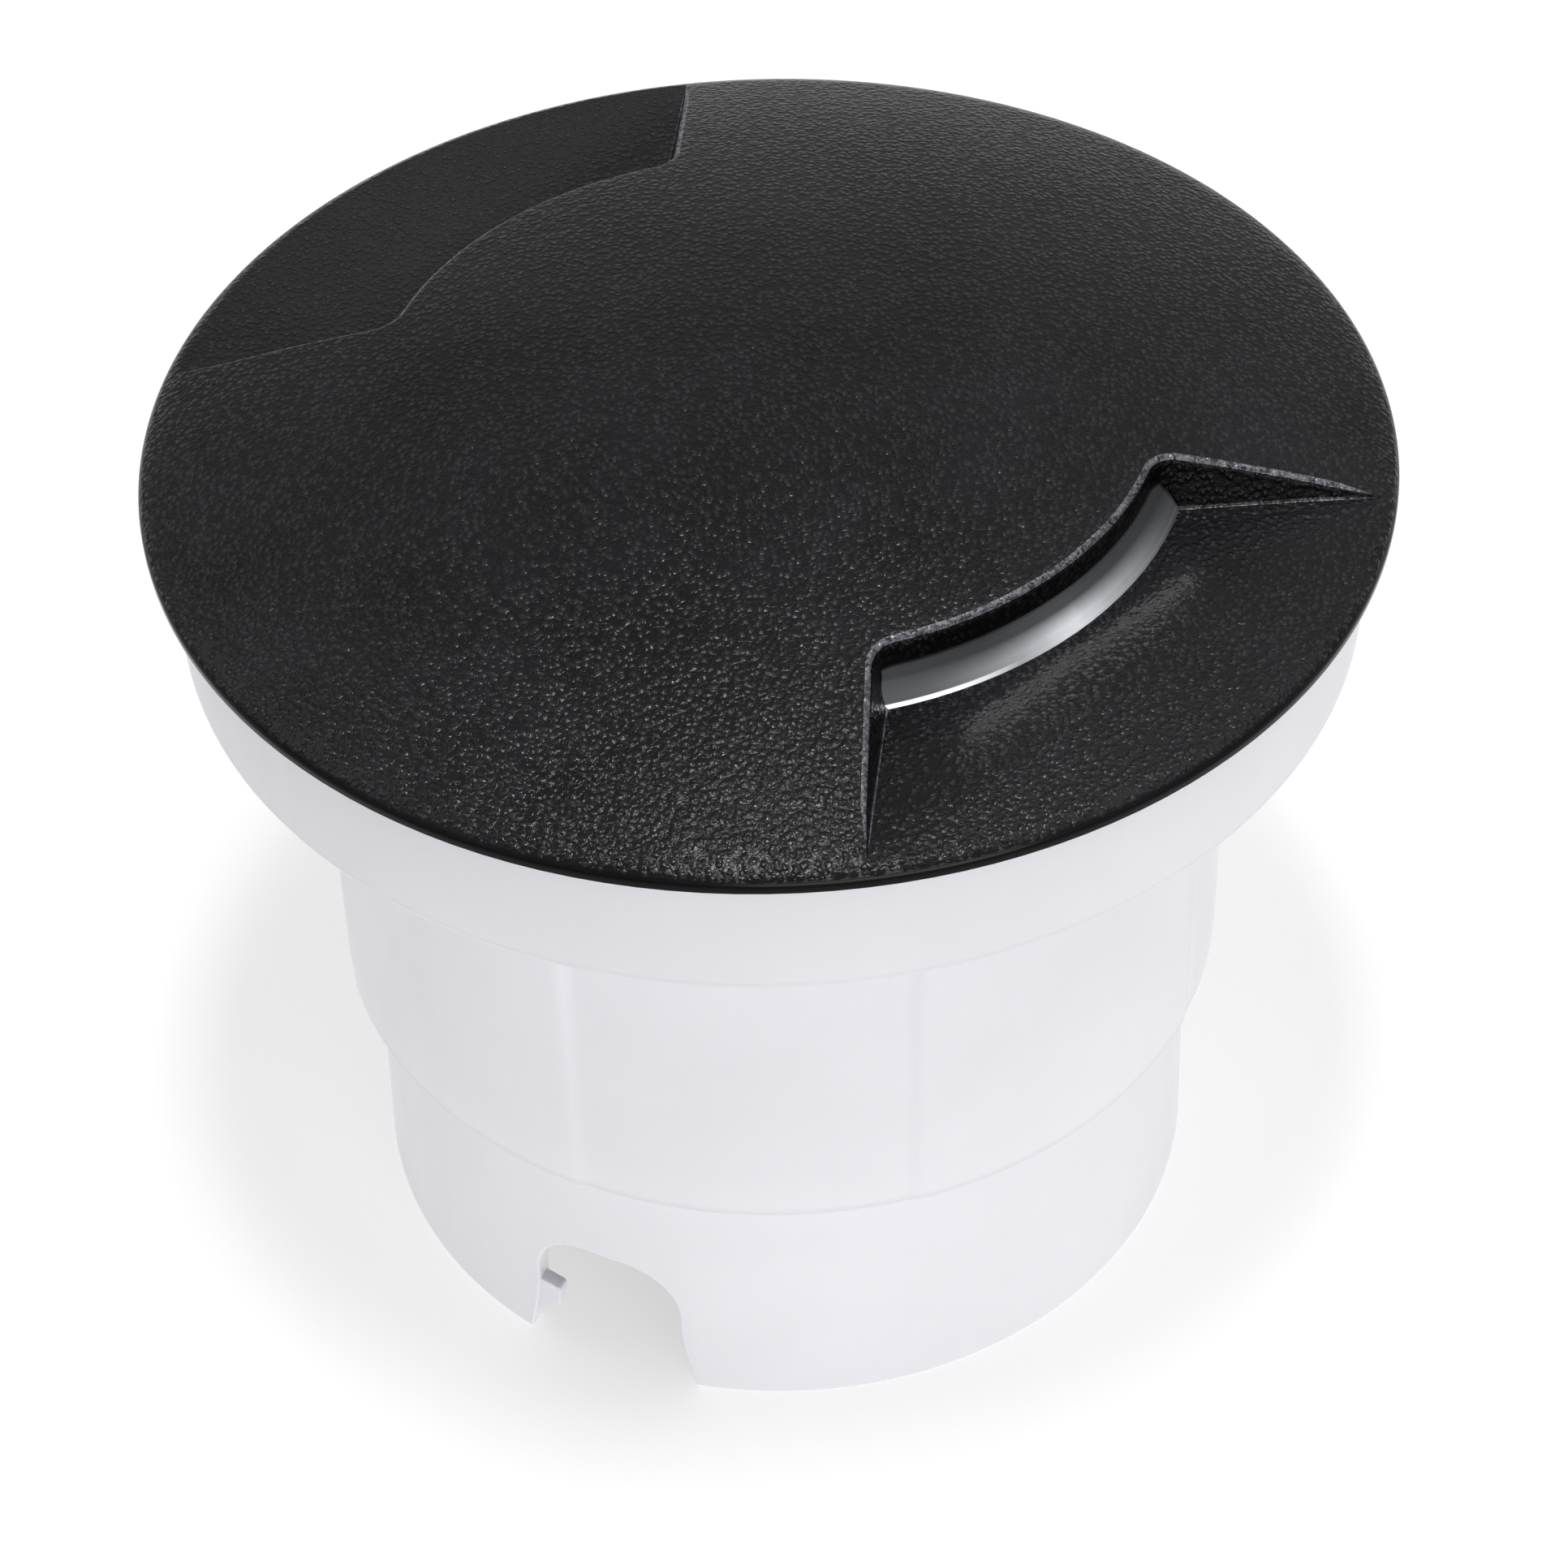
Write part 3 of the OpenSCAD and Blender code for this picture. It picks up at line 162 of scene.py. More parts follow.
class LightStage(PropertyGroup):
    """Camera and lamps"""

    azimuth: angle("Azimuth", "Direction of the camera", -43.0)
    elevation: angle("Elevation", "Camera's angle above the horizon", 43.76)
    roll: angle("Roll", "Turn of the picture", -1.532)
    distance: length("Distance", "Distance to the rim's centre along the view", 426.06 * MM, most=2.0)
    aside: length("Aside", "How far the camera stands to the right of the rim's centre", 0.678 * MM)
    below: length("Below", "How far the camera stands below the rim's centre", 33.057 * MM)
    lens: FloatProperty(name="Lens", description="Focal length in mm", default=102.48, min=20, max=300)
    front: number("Front", "Power of the lamp in front", 4.1, most=100)
    left: number("Left", "Power of the lamp at the upper left", 1.2, most=100)
    back: number("Back", "Power of the lamp behind", 0.6, most=100)
    top: number("Top", "Power of the small lamp above", 3.3, most=100)
    right: number("Right", "Power of the lamp at the upper right", 2.0, most=100)
    spill: number("Spill", "Power of the light that falls out of the front window", 0.0003)
    sky: number("Sky", "Strength of the surroundings", 0.3)


# Mesh tools

TURNED_MERGE = 1e-7  # points of a turned mesh that lie closer are one, in metres
PACKED_MERGE = 1e-6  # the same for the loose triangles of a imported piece
MOST_OF_SIDE = 0.49  # share of the side next to it that a rounding takes at most
SHARP_EDGE = math.radians(32)


def heading(turn):
    """Level unit vector at an angle from +x."""
    return Vector((math.cos(turn), math.sin(turn)))


def rounded(corners, closed=True, steps=5):
    """Outline through corners given as (x, y, radius), with each corner rounded."""
    outline = []
    count = len(corners)
    for i, (x, y, radius) in enumerate(corners):
        here = Vector((x, y))
        if radius <= 0 or (not closed and i in (0, count - 1)):
            outline.append(here)
            continue
        before = Vector(corners[i - 1][:2]) - here
        after = Vector(corners[(i + 1) % count][:2]) - here
        half = before.angle(after) / 2
        reach = min(radius / math.tan(half), MOST_OF_SIDE * before.length, MOST_OF_SIDE * after.length)
        start, end = before.normalized() * reach, after.normalized() * reach
        arc_radius = reach * math.tan(half)
        centre = (before.normalized() + after.normalized()).normalized() * (arc_radius / math.sin(half))
        first, last = start - centre, end - centre
        for step in range(steps + 1):
            outline.append(here + centre + first.slerp(last, step / steps, first) * first.length)
    return outline


def spun(outline, steps):
    """Closed solid of revolution from a closed outline of (radius, height) points."""
    bm = bmesh.new()
    verts = [bm.verts.new((radius, 0, height)) for radius, height in outline]
    edges = [bm.edges.new((verts[i - 1], verts[i])) for i in range(len(verts))]
    bmesh.ops.spin(
        bm, geom=verts + edges, cent=(0, 0, 0), axis=(0, 0, 1), angle=math.tau, steps=steps, use_merge=True
    )
    bmesh.ops.remove_doubles(bm, verts=bm.verts, dist=TURNED_MERGE)
    bmesh.ops.recalc_face_normals(bm, faces=bm.faces)
    return bm


def stacked(loops):
    """Closed solid through a stack of loops that hold the same number of points."""
    bm = bmesh.new()
    rings = []
    for loop in loops:
        verts = [bm.verts.new(point) for point in loop]
        rings.append([bm.edges.new((verts[i - 1], verts[i])) for i in range(len(verts))])
    for low, high in zip(rings, rings[1:]):
        bmesh.ops.bridge_loops(bm, edges=low + high)
    for cap in (rings[0], rings[-1]):
        bmesh.ops.edgeloop_fill(bm, edges=cap)
    bmesh.ops.recalc_face_normals(bm, faces=bm.faces)
    return bm


def merged_copy(node):
    """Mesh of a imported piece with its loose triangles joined."""
    bm = bmesh.new()
    bm.from_mesh(frame["nodes"][node].data)
    bmesh.ops.remove_doubles(bm, verts=bm.verts, dist=PACKED_MERGE)
    return bm


def as_object(name, bm):
    """New object in the scene that holds a finished bmesh."""
    mesh = bpy.data.meshes.new(name)
    bm.to_mesh(mesh)
    bm.free()
    obj = bpy.data.objects.new(name, mesh)
    bpy.context.scene.collection.objects.link(obj)
    return obj


def carve(target, tool, operation="DIFFERENCE"):
    """Cuts a tool out of the target, joins it or keeps what both share, and removes the tool."""
    cut = target.modifiers.new("cut", "BOOLEAN")
    cut.operation = operation
    cut.solver = "EXACT"
    cut.object = tool
    bpy.context.view_layer.update()
    result = bpy.data.meshes.new_from_object(target.evaluated_get(bpy.context.evaluated_depsgraph_get()))
    target.modifiers.clear()
    old, target.data = target.data, result
    used = tool.data
    bpy.data.objects.remove(tool)
    for mesh in (old, used):
        bpy.data.meshes.remove(mesh)


def mark_tilt(obj):
    """Stores on every face how level it lies: 1 for a flat top, 0 for a wall."""
    tilt = obj.data.attributes.new("tilt", "FLOAT", "FACE")
    for face in obj.data.polygons:
        tilt.data[face.index].value = face.normal.z


def finish(obj, body, slot, material, *nodes):
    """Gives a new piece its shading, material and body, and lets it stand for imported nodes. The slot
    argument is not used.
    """
    obj.data.shade_smooth()
    obj.data.set_sharp_from_angle(angle=SHARP_EDGE)
    obj.data.materials.clear()
    obj.data.materials.append(material)
    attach(obj, body)
    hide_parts(*nodes)


# Cover

COVER_STEPS = 360
DOME_RINGS = 56
POLE = 0.05 * MM  # radius of the dome's first ring, which is drawn together into its pole
ROLL_START = 2.0 * MM  # how far inside the outer radius the dome rolls over into the lip
# The roll's points, in mm: distance inside the outer radius, and height above the lip's upper edge
ROLL = ((1.5, 0.43), (1.0, 0.18), (0.6, -0.04), (0.3, -0.27), (0.1, -0.52))
# How far under its upper edge the roll ends, and the lip's straight side begins
ROLL_END, LIP_TOP = 0.80 * MM, 0.9 * MM
LIP_INWARD = 3 * MM  # width of the lip's underside that the skin shapes
OFF_PACKED = 0.002 * MM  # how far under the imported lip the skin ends, so that no two faces coincide
SKIN_DEPTH = 20 * MM  # how far below the lip the skin reaches, lower than the cover's own skirt

# Points along half of a recess's outline
OUTER_STEPS, WALL_STEPS, CORNER_STEPS, ROOF_STEPS = 24, 28, 12, 20
OUTER_RADIUS = 66 * MM  # where the recess tool ends, outside the cover
OVERSHOOT = 1.0 * MM  # how far the recess tool stands out of the dome
LEAST_DEPTH = 0.03 * MM  # depth of the recess tool where the dome has sunk to the recess's floor
TOP_TURNS = (12, 25, 38, 52, 66, 80, 90)  # steps round a recess's upper edge, in degrees
WALL_SHARES = (0.3, 0.65, 1.0)  # steps down its wall
FOOT_TURNS = (22, 45, 68, 90)  # steps round the foot of its wall, in degrees


def dome_height(shape, radius):
    """Height of the dome at a distance from the axis."""
    rise = shape.crown - shape.rim
    ball = (shape.radius**2 + rise**2) / (2 * rise)
    return shape.crown - ball + math.sqrt(ball**2 - min(radius, shape.radius) ** 2)


def cover_skin(shape):
    """Fine outer form of the cover: dome, rolled rim and rounded lip."""
    radius, rim, inset = shape.radius, shape.rim, shape.skin_inset
    side, under, plug = radius - inset, shape.lip_foot - OFF_PACKED, shape.lip_foot - SKIN_DEPTH
    outline = []
    for i in range(DOME_RINGS + 1):
        at = POLE + (radius - ROLL_START - POLE) * i / DOME_RINGS
        outline.append((at, dome_height(shape, at) - inset))
    outline += [(radius - inward * MM, rim + rise * MM) for inward, rise in ROLL]
    outline.append((side, rim - ROLL_END))
    lip = [(side, rim - LIP_TOP, 0), (side, under, shape.lip_round), (radius - LIP_INWARD, under, 0)]
    outline += rounded(lip, closed=False)
    outline += [(radius - LIP_INWARD, plug), (POLE, plug)]
    bm = spun(outline, COVER_STEPS)
    for vert in bm.verts:
        if math.hypot(vert.co.x, vert.co.y) < 1.2 * POLE and vert.co.z > shape.lip_foot:
            vert.co.x = vert.co.y = 0
    bmesh.ops.remove_doubles(bm, verts=bm.verts, dist=TURNED_MERGE)
    bmesh.ops.recalc_face_normals(bm, faces=bm.faces)
    return bm


def recess_outline(shape):
    """Upper outline of a recess along +x: points, ways into the cover, and how far each leans."""
    spread, apex, corner, roof = shape.pocket_angle, shape.pocket_apex, shape.pocket_corner, shape.roof_edge
    wall = heading(spread)
    out = Vector((-wall.y, wall.x))
    inner_apex = apex + corner / math.sin(spread)
    reach = -inner_apex * math.cos(spread) + math.sqrt(
        (roof + corner) ** 2 - (inner_apex * math.sin(spread)) ** 2
    )
    centre = Vector((inner_apex, 0)) + wall * reach
    centre_turn = math.atan2(centre.y, centre.x)
    wall_turn, roof_turn = math.atan2(out.y, out.x), centre_turn + math.pi
    wall_start = centre + out * corner
    along = -wall_start.dot(wall) + math.sqrt(
        wall_start.dot(wall) ** 2 + OUTER_RADIUS**2 - wall_start.length_squared
    )
    outer_end = wall_start + wall * along
    outer_turn = math.atan2(outer_end.y, outer_end.x)
    points = []
    for i in range(1, OUTER_STEPS):
        points.append((heading(outer_turn * i / OUTER_STEPS) * OUTER_RADIUS, out, 0.0))
    for i in range(WALL_STEPS):
        points.append((wall_start + wall * along * (1 - i / WALL_STEPS), out, 1.0))
    for i in range(CORNER_STEPS + 1):
        share = i / CORNER_STEPS
        way = heading(wall_turn + (roof_turn - wall_turn) * share)
        points.append((centre + way * corner, way, 1 - share))
    for i in range(1, ROOF_STEPS):
        way = heading(centre_turn * (1 - i / ROOF_STEPS))
        points.append((way * roof, -way, 0.0))
    other_half = [
        (Vector((at.x, -at.y)), Vector((way.x, -way.y)), lean) for at, way, lean in reversed(points)
    ]
    roof_middle = (Vector((roof, 0)), Vector((-1, 0)), 0.0)
    outer_middle = (Vector((OUTER_RADIUS, 0)), out, 0.0)
    return [outer_middle, *points, roof_middle, *other_half]


def recess_section(shape, height, lean, part, value):
    """How far into the cover and how deep a recess's section lies at one step of its edge, wall or foot."""
    top_round = min(shape.edge_round, 0.55 * height)
    foot_round = min(shape.floor_round, 0.25 * height) * lean
    wall = height - foot_round - top_round
    slant = math.tan(shape.pocket_draft) * lean
    if part == "wall":
        depth = top_round + wall * value
        return -slant * (depth - top_round), depth
    turn = math.radians(value)
    if part == "foot":
        shift = -slant * wall - foot_round * (1 - math.cos(turn))
        return shift, height - foot_round + foot_round * math.sin(turn)
    shift, depth = top_round * (1 - math.sin(turn)), top_round * (1 - math.cos(turn))
    if part == "edge":
        return shift, depth
    if height < 0.1 * MM:
        return 0.0, -OVERSHOOT
    return shift + OVERSHOOT * math.cos(turn), depth - OVERSHOOT * math.sin(turn)


def recess_tool(shape, turn):
    """Solid that carves one recess, with rounded upper edge, leaning walls and rounded foot."""
    floor = shape.pocket_floor - shape.skin_inset
    levels = [("above", TOP_TURNS[0])]
    for part, values in (("edge", TOP_TURNS), ("wall", WALL_SHARES), ("foot", FOOT_TURNS)):
        levels += [(part, value) for value in values]
    loops = []
    for part, value in levels:
        loop = []
        for at, way, lean in recess_outline(shape):
            height = LEAST_DEPTH
            if at.length < shape.radius:
                height = max(dome_height(shape, at.length) - floor, LEAST_DEPTH)
            shift, depth = recess_section(shape, height, lean, part, value)
            place = at + way * shift
            if height <= 0.031 * MM:  # the least depth, with room for rounding
                ground = floor + height
            else:
                ground = dome_height(shape, (place if part in ("above", "edge") else at).length)
            at_floor = (part, value) == levels[-1]
            loop.append(Vector((place.x, place.y, floor if at_floor else max(ground - depth, floor))))
        loops.append(loop)
    bm = stacked(loops)
    bmesh.ops.rotate(bm, verts=bm.verts, cent=(0, 0, 0), matrix=Matrix.Rotation(turn, 3, "Z"))
    return bm


class INGROUND_OT_cover(Operator):
    """Makes the domed cover with its two window recesses"""

    bl_idname = "inground.cover"
    bl_label = "Cover"
    bl_options = {"REGISTER", "UNDO"}

    def execute(self, context):
        shape = context.scene.inground_cover
        cover = as_object("cover_shell", merged_copy("cover"))
        carve(cover, as_object("skin", cover_skin(shape)), "INTERSECT")
        for turn in (-math.pi / 2, math.pi / 2):
            carve(cover, as_object("recess", recess_tool(shape, turn)))
        mark_tilt(cover)
        finish(cover, "cover", "cover_black", grained_cover(context.scene.inground_finish, shape), "cover")
        return {"FINISHED"}


# Sleeve

PANEL_PITCH = math.tau / 4
PANEL_FOOT = 0.012  # radians by which the foot of a panel's slope stands outside the panel's span
# Rings of the barrel, in mm: above the ledge, and below the flange
BARREL_RISES, BARREL_DROPS = (6, 18, 30), (3.0, 1.2, 0.9, 0.6)
# Under the flange the rooms between the panels fill up: how far below it this starts, and over what height
FILL_START, FILL_HEIGHT = 1.2 * MM, 0.9 * MM
FLARE_SHARES = (-0.12, 0, 0.15, 0.3, 0.45, 0.6, 0.8, 1)  # heights of a notch's flared side
EDGE_TURNS = (15, 35, 55, 75, 90)  # steps round a notch's outer edge, in degrees
NOTCH_ARC = 12
THROUGH = 2 * MM  # how far a notch's tool stands out of both sides of the wall


def panel_share(shape, turn, z):
    """How much of the panel's step stands at a direction and height: 0 in a room, 1 on a panel."""
    rise = min(max((z - shape.ledge) / (shape.flange_under - shape.ledge), 0), 1)
    slope = (shape.panel_foot_slope + (shape.panel_slope - shape.panel_foot_slope) * rise) / shape.barrel
    away = (turn - shape.panel_turn + PANEL_PITCH / 2) % PANEL_PITCH - PANEL_PITCH / 2
    inside = (shape.panel_span / 2 + PANEL_FOOT - abs(away)) / slope
    return min(max(inside, 0), 1)


def raise_panels(shape, bm):
    """Moves the barrel's points outward on the panels and under the flange."""
    for vert in bm.verts:
        radius, z = math.hypot(vert.co.x, vert.co.y), vert.co.z
        outside = shape.barrel - 0.7 * MM < radius < shape.barrel + 0.5 * MM
        if not (outside and shape.ledge - 0.01 * MM < z < shape.flange_under + 0.01 * MM):
            continue
        rise = (z - shape.ledge) / (shape.flange_under - shape.ledge)
        step = shape.panel_foot_step + (shape.panel_step - shape.panel_foot_step) * rise
        filled = min(max((z - shape.flange_under + FILL_START) / FILL_HEIGHT, 0), 1)
        share = max(panel_share(shape, math.atan2(vert.co.y, vert.co.x), z), filled)
        grown = (radius + step * share) / radius
        vert.co.x *= grown
        vert.co.y *= grown


def sleeve_body(shape):
    """Sleeve without its notches: skirt, ledge, panelled barrel and flange, open above and below."""
    wall, top, barrel = shape.wall, shape.height, shape.barrel
    ledge, under = shape.ledge, shape.flange_under
    seat = under + 3 * MM
    corners = [
        (shape.skirt_foot - wall, 0, 0.3 * MM),
        (shape.skirt_foot, 0, 0.4 * MM),
        (shape.skirt_top, ledge, 0.25 * MM),
        (barrel, ledge, 0.6 * MM),
        *((barrel, ledge + rise * MM, 0) for rise in BARREL_RISES),
        *((barrel, under - drop * MM, 0) for drop in BARREL_DROPS),
        (barrel, under, 0.3 * MM),
        (shape.flange, under, 0.9 * MM),
        (shape.flange, top - 3 * MM, 0),
        (shape.flange, top, 0.5 * MM),
        (shape.flange - wall, top, 0.4 * MM),
        (shape.flange - wall, seat, 0.4 * MM),
        (barrel - wall, seat, 0.3 * MM),
        (barrel - wall, ledge + wall, 0.3 * MM),
        (shape.skirt_top - wall, ledge + wall, 0.4 * MM),
    ]
    bm = spun(rounded(corners), shape.steps)
    raise_panels(shape, bm)
    return bm


def on_skirt(shape, turn, across, z, depth):
    """Point at a distance across the skirt, at a height, and at a depth under its outer face."""
    radius = shape.skirt_foot - (shape.skirt_foot - shape.skirt_top) * z / shape.ledge - depth
    outward = heading(turn)
    at = outward * math.sqrt(radius * radius - across * across) + Vector((-outward.y, outward.x)) * across
    return Vector((at.x, at.y, z))


def notch_tool(shape, turn):
    """Solid that carves one cable notch, arched above, flared below and rounded at the outside."""
    half, tall = shape.notch_width / 2, shape.notch_height
    corner, edge = shape.notch_corner, shape.notch_edge
    side = []
    for share in FLARE_SHARES:
        flare = shape.notch_flare * (1 - max(share, 0)) ** 1.4
        side.append((half + flare, shape.notch_flare_height * share, 1, 0))

    def arc(middle, start, steps):
        """Quarter turn of the arch: across and up, and the way out of the notch at each point."""
        turns = [start - math.pi / 2 * i / NOTCH_ARC for i in steps]
        ways = [(math.cos(a), math.sin(a)) for a in turns]
        return [(middle + corner * s, tall - corner + corner * z, s, z) for s, z in ways]

    outline = [(-s, z, -way_s, way_z) for s, z, way_s, way_z in side]
    outline += arc(-half + corner, math.pi, range(NOTCH_ARC))
    for share in (0, 0.25, 0.5, 0.75, 1):
        outline.append((-half + corner + (2 * half - 2 * corner) * share, tall, 0, 1))
    outline += arc(half - corner, math.pi / 2, range(1, NOTCH_ARC + 1))
    outline += reversed(side)
    foot_s, foot_z = side[0][:2]
    outline += [(foot_s * (1 - i / 4), foot_z, 0, 0) for i in range(1, 8)]
    layers = [(-THROUGH, edge * 1.5 + 0.2 * MM)]
    for a in EDGE_TURNS:
        layers.append((edge * (1 - math.cos(math.radians(a))), edge * (1 - math.sin(math.radians(a)))))
    layers.append((shape.wall + THROUGH, 0.0))
    return stacked(
        [on_skirt(shape, turn, s + way_s * grow, z + way_z * grow, depth) for s, z, way_s, way_z in outline]
        for depth, grow in layers
    )


def nub_body(shape, turn):
    """Small wedge on a notch's edge, flat above and sloping below."""
    root = -shape.notch_width / 2 - shape.notch_flare
    tip = -shape.notch_width / 2 + shape.nub_width
    top, tip_foot, root_foot = shape.nub_height, shape.nub_height - 2.4 * MM, shape.nub_height - 5.8 * MM
    corners = [
        (root, top, 0),
        (tip, top, 0.35 * MM),
        (tip - 0.2 * MM, tip_foot, 0.5 * MM),
        (root, root_foot, 0),
    ]
    outline = rounded(corners, steps=4)
    centre = Vector(((root + tip) / 2, tip_foot))
    loops = []
    face = ((0.25 * MM, 0.16 * MM), (0.33 * MM, 0.05 * MM), (0.5 * MM, 0))
    for depth, inset in (*face, (shape.wall - 0.3 * MM, 0)):
        loop = []
        for point in outline:
            way = (point - centre).normalized() * inset
            across = point.x - (way.x if point.x > root + 0.1 * MM else 0)
            loop.append(on_skirt(shape, turn, across, point.y - way.y, depth))
        loops.append(loop)
    return stacked(loops)


class INGROUND_OT_sleeve(Operator):
    """Makes the installation sleeve with its panels, ledge, cable notches and nubs"""

    bl_idname = "inground.sleeve"
    bl_label = "Sleeve"
    bl_options = {"REGISTER", "UNDO"}

    def execute(self, context):
        shape = context.scene.inground_sleeve
        sleeve = as_object("sleeve_body", sleeve_body(shape))
        for turn in (shape.notch_turn, shape.notch_turn + math.pi):
            carve(sleeve, as_object("notch", notch_tool(shape, turn)))
            carve(sleeve, as_object("nub", nub_body(shape, turn)), "UNION")
        look = moulded_sleeve(context.scene.inground_finish, shape)
        finish(sleeve, "base", "sleeve_white", look, "sleeve")
        return {"FINISHED"}


# Materials


class Tree:
    """Short way to build the node tree of a material or of the surroundings."""

    def __init__(self, owner):
        owner.use_nodes = True
        self.nodes = owner.node_tree.nodes
        self.links = owner.node_tree.links

    def add(self, kind, operation=None):
        node = self.nodes.new("ShaderNode" + kind)
        if operation:
            node.operation = operation
        return node

    def feed(self, socket, value):
        """Links an output to a socket, or gives the socket a plain value."""
        if isinstance(value, bpy.types.NodeSocket):
            self.links.new(value, socket)
        else:
            socket.default_value = value

    def filled(self, node, *values):
        for socket, value in zip(node.inputs, values):
            self.feed(socket, value)
        return node.outputs

    def maths(self, operation, *values):
        return self.filled(self.add("Math", operation), *values)[0]

    def plus(self, first, second):
        return self.maths("ADD", first, second)

    def times(self, first, second):
        return self.maths("MULTIPLY", first, second)

    def vector(self, operation, *values):
        return self.filled(self.add("VectorMath", operation), *values)[0]

    def size_of(self, vector):
        return self.filled(self.add("VectorMath", "LENGTH"), vector)["Value"]

    def scaled(self, vector, factor):
        node = self.add("VectorMath", "SCALE")
        self.feed(node.inputs["Scale"], factor)
        return self.filled(node, vector)[0]

    def span(self, value, low, high, to_low=0.0, to_high=1.0, curve="LINEAR"):
        """Value mapped from one span onto another, and held at both ends."""
        node = self.add("MapRange")
        node.clamp = True
        node.interpolation_type = curve
        return self.filled(node, value, low, high, to_low, to_high)[0]

    def mixed(self, factor, first, second):
        """Mix of two surfaces or backgrounds."""
        return self.filled(self.add("MixShader"), factor, first, second)[0]

    def end(self, kind, surface):
        self.feed(self.add(kind).inputs["Surface"], surface)


class Shader(Tree):
    """Procedural material on the object's own coordinates."""

    def __init__(self, name):
        self.material = bpy.data.materials.new(name)
        super().__init__(self.material)
        self.surface = self.nodes["Principled BSDF"]
        self.here = self.add("TexCoord").outputs["Object"]

    def set(self, **values):
        """Sets or links sockets of the surface, named with underscores for spaces."""
        for name, value in values.items():
            self.feed(self.surface.inputs[name.replace("_", " ")], value)

    def axes(self):
        return self.filled(self.add("SeparateXYZ"), self.here)

    def stretched(self, scale):
        """Coordinates that draw a pattern out along the axis with the smallest scale."""
        mapping = self.add("Mapping")
        self.feed(mapping.inputs["Vector"], self.here)
        self.feed(mapping.inputs["Scale"], scale)
        return mapping.outputs["Vector"]

    def noise(self, size, detail=3.0, roughness=0.5, distortion=0.0, vector=None, output="Fac"):
        node = self.add("TexNoise")
        values = {"Scale": 1 / size, "Detail": detail, "Roughness": roughness, "Distortion": distortion}
        for name, value in {"Vector": vector or self.here, **values}.items():
            self.feed(node.inputs[name], value)
        return node.outputs[output]

    def pebbles(self, size, smoothness, vector):
        """Distance to the middle of soft cells."""
        node = self.add("TexVoronoi")
        node.feature = "SMOOTH_F1"
        for name, value in (("Vector", vector), ("Scale", 1 / size), ("Smoothness", smoothness)):
            self.feed(node.inputs[name], value)
        return node.outputs["Distance"]

    def tint(self, factor, first, second):
        """Colour between two, or past the second one where the factor is over 1."""
        node = self.add("Mix")
        node.data_type = "RGBA"
        node.clamp_factor = False
        self.feed(node.inputs["Factor"], factor)
        ends = [socket for socket in node.inputs if socket.type == "RGBA"]
        for socket, tone in zip(ends, (first, second)):
            self.feed(socket, (*tone, 1))
        return next(socket for socket in node.outputs if socket.type == "RGBA")

    def bump(self, height, depth):
        node = self.add("Bump")
        self.feed(node.inputs["Height"], height)
        self.feed(node.inputs["Distance"], depth)
        self.set(Normal=node.outputs["Normal"])


def shaded(tone, factor):
    """Colour times a factor, held at white."""
    return tuple(min(1.0, part * factor) for part in tone)


def grained_cover(finishes, shape):
    """Black plastic: leather grain on dome and recesses, smooth on the lip, painted shade and less gloss on
    steep faces, painted highlights on edges and grain tips.
    """
    s = Shader("cover_black")
    grain = finishes.grain

    # Leather grain: pebbles with wandering borders, under creases and a fine tooth
    wander = s.noise(grain * 1.6, detail=2, output="Color")
    pebble = s.pebbles(grain * 1.15, 0.25, s.vector("MULTIPLY_ADD", wander, (0.7 * grain,) * 3, s.here))
    crease = s.noise(grain * 0.8, detail=2, roughness=0.55, distortion=0.8)
    fine = s.noise(grain * 0.25, detail=2)
    relief = s.span(pebble, 0.08, 0.72, 1.0, 0.0, "SMOOTHSTEP")
    relief = s.plus(relief, s.span(crease, 0.32, 0.68, 0.0, 0.35))
    relief = s.plus(relief, s.span(fine, 0.2, 0.8, 0.0, 0.10))
    grained = s.span(s.axes()["Z"], shape.rim - 0.35 * MM, shape.rim - 0.15 * MM)
    s.bump(s.times(relief, grained), finishes.grain_depth)

    # Painted highlights: the rounded edges round the recesses, but not the cover's own rim, and the grain's
    # tips are painted pale
    marked = s.add("Attribute")
    marked.attribute_name = "tilt"
    tilt = marked.outputs["Fac"]
    # Painted shade: steep faces, such as the recess walls, are painted darker, and they are less glossy
    level = s.span(tilt, 0.45, 0.75, 0.35, 1.0)
    from_axis = s.size_of(s.vector("MULTIPLY", s.here, (1, 1, 0)))
    inside = s.span(from_axis, 56.5 * MM, 57.5 * MM, 1.0, 0.0)
    edge = s.times(s.times(s.span(tilt, 0.5, 0.65), s.span(tilt, 0.92, 0.95, 1.0, 0.0)), inside)
    tip = s.times(s.span(relief, 0.85, 1.3), grained)
    edge_highlight = s.times(s.times(edge, grained), s.span(crease, 0.36, 0.66, 0.25, 4.2))
    painted_highlights = s.plus(s.times(tip, 0.45), edge_highlight)

    cloud = s.noise(14 * MM, detail=4)
    bright = s.plus(s.span(cloud, 0.3, 0.7, 0.0, 0.15), painted_highlights)
    tone = s.tint(bright, shaded(finishes.cover, 0.45), shaded(finishes.cover, 4.2))
    gloss = s.plus(s.span(level, 0.35, 1.0, 0.08, 0.23), s.times(painted_highlights, 0.25))
    s.set(
        Base_Color=s.scaled(tone, level),
        Roughness=s.plus(s.span(fine, 0.25, 0.75, 0.15, 0.21), s.span(tip, 0.0, 1.0, 0.02, -0.03)),
        Specular_IOR_Level=s.maths("MINIMUM", gloss, 1.0),
    )
    return s.material


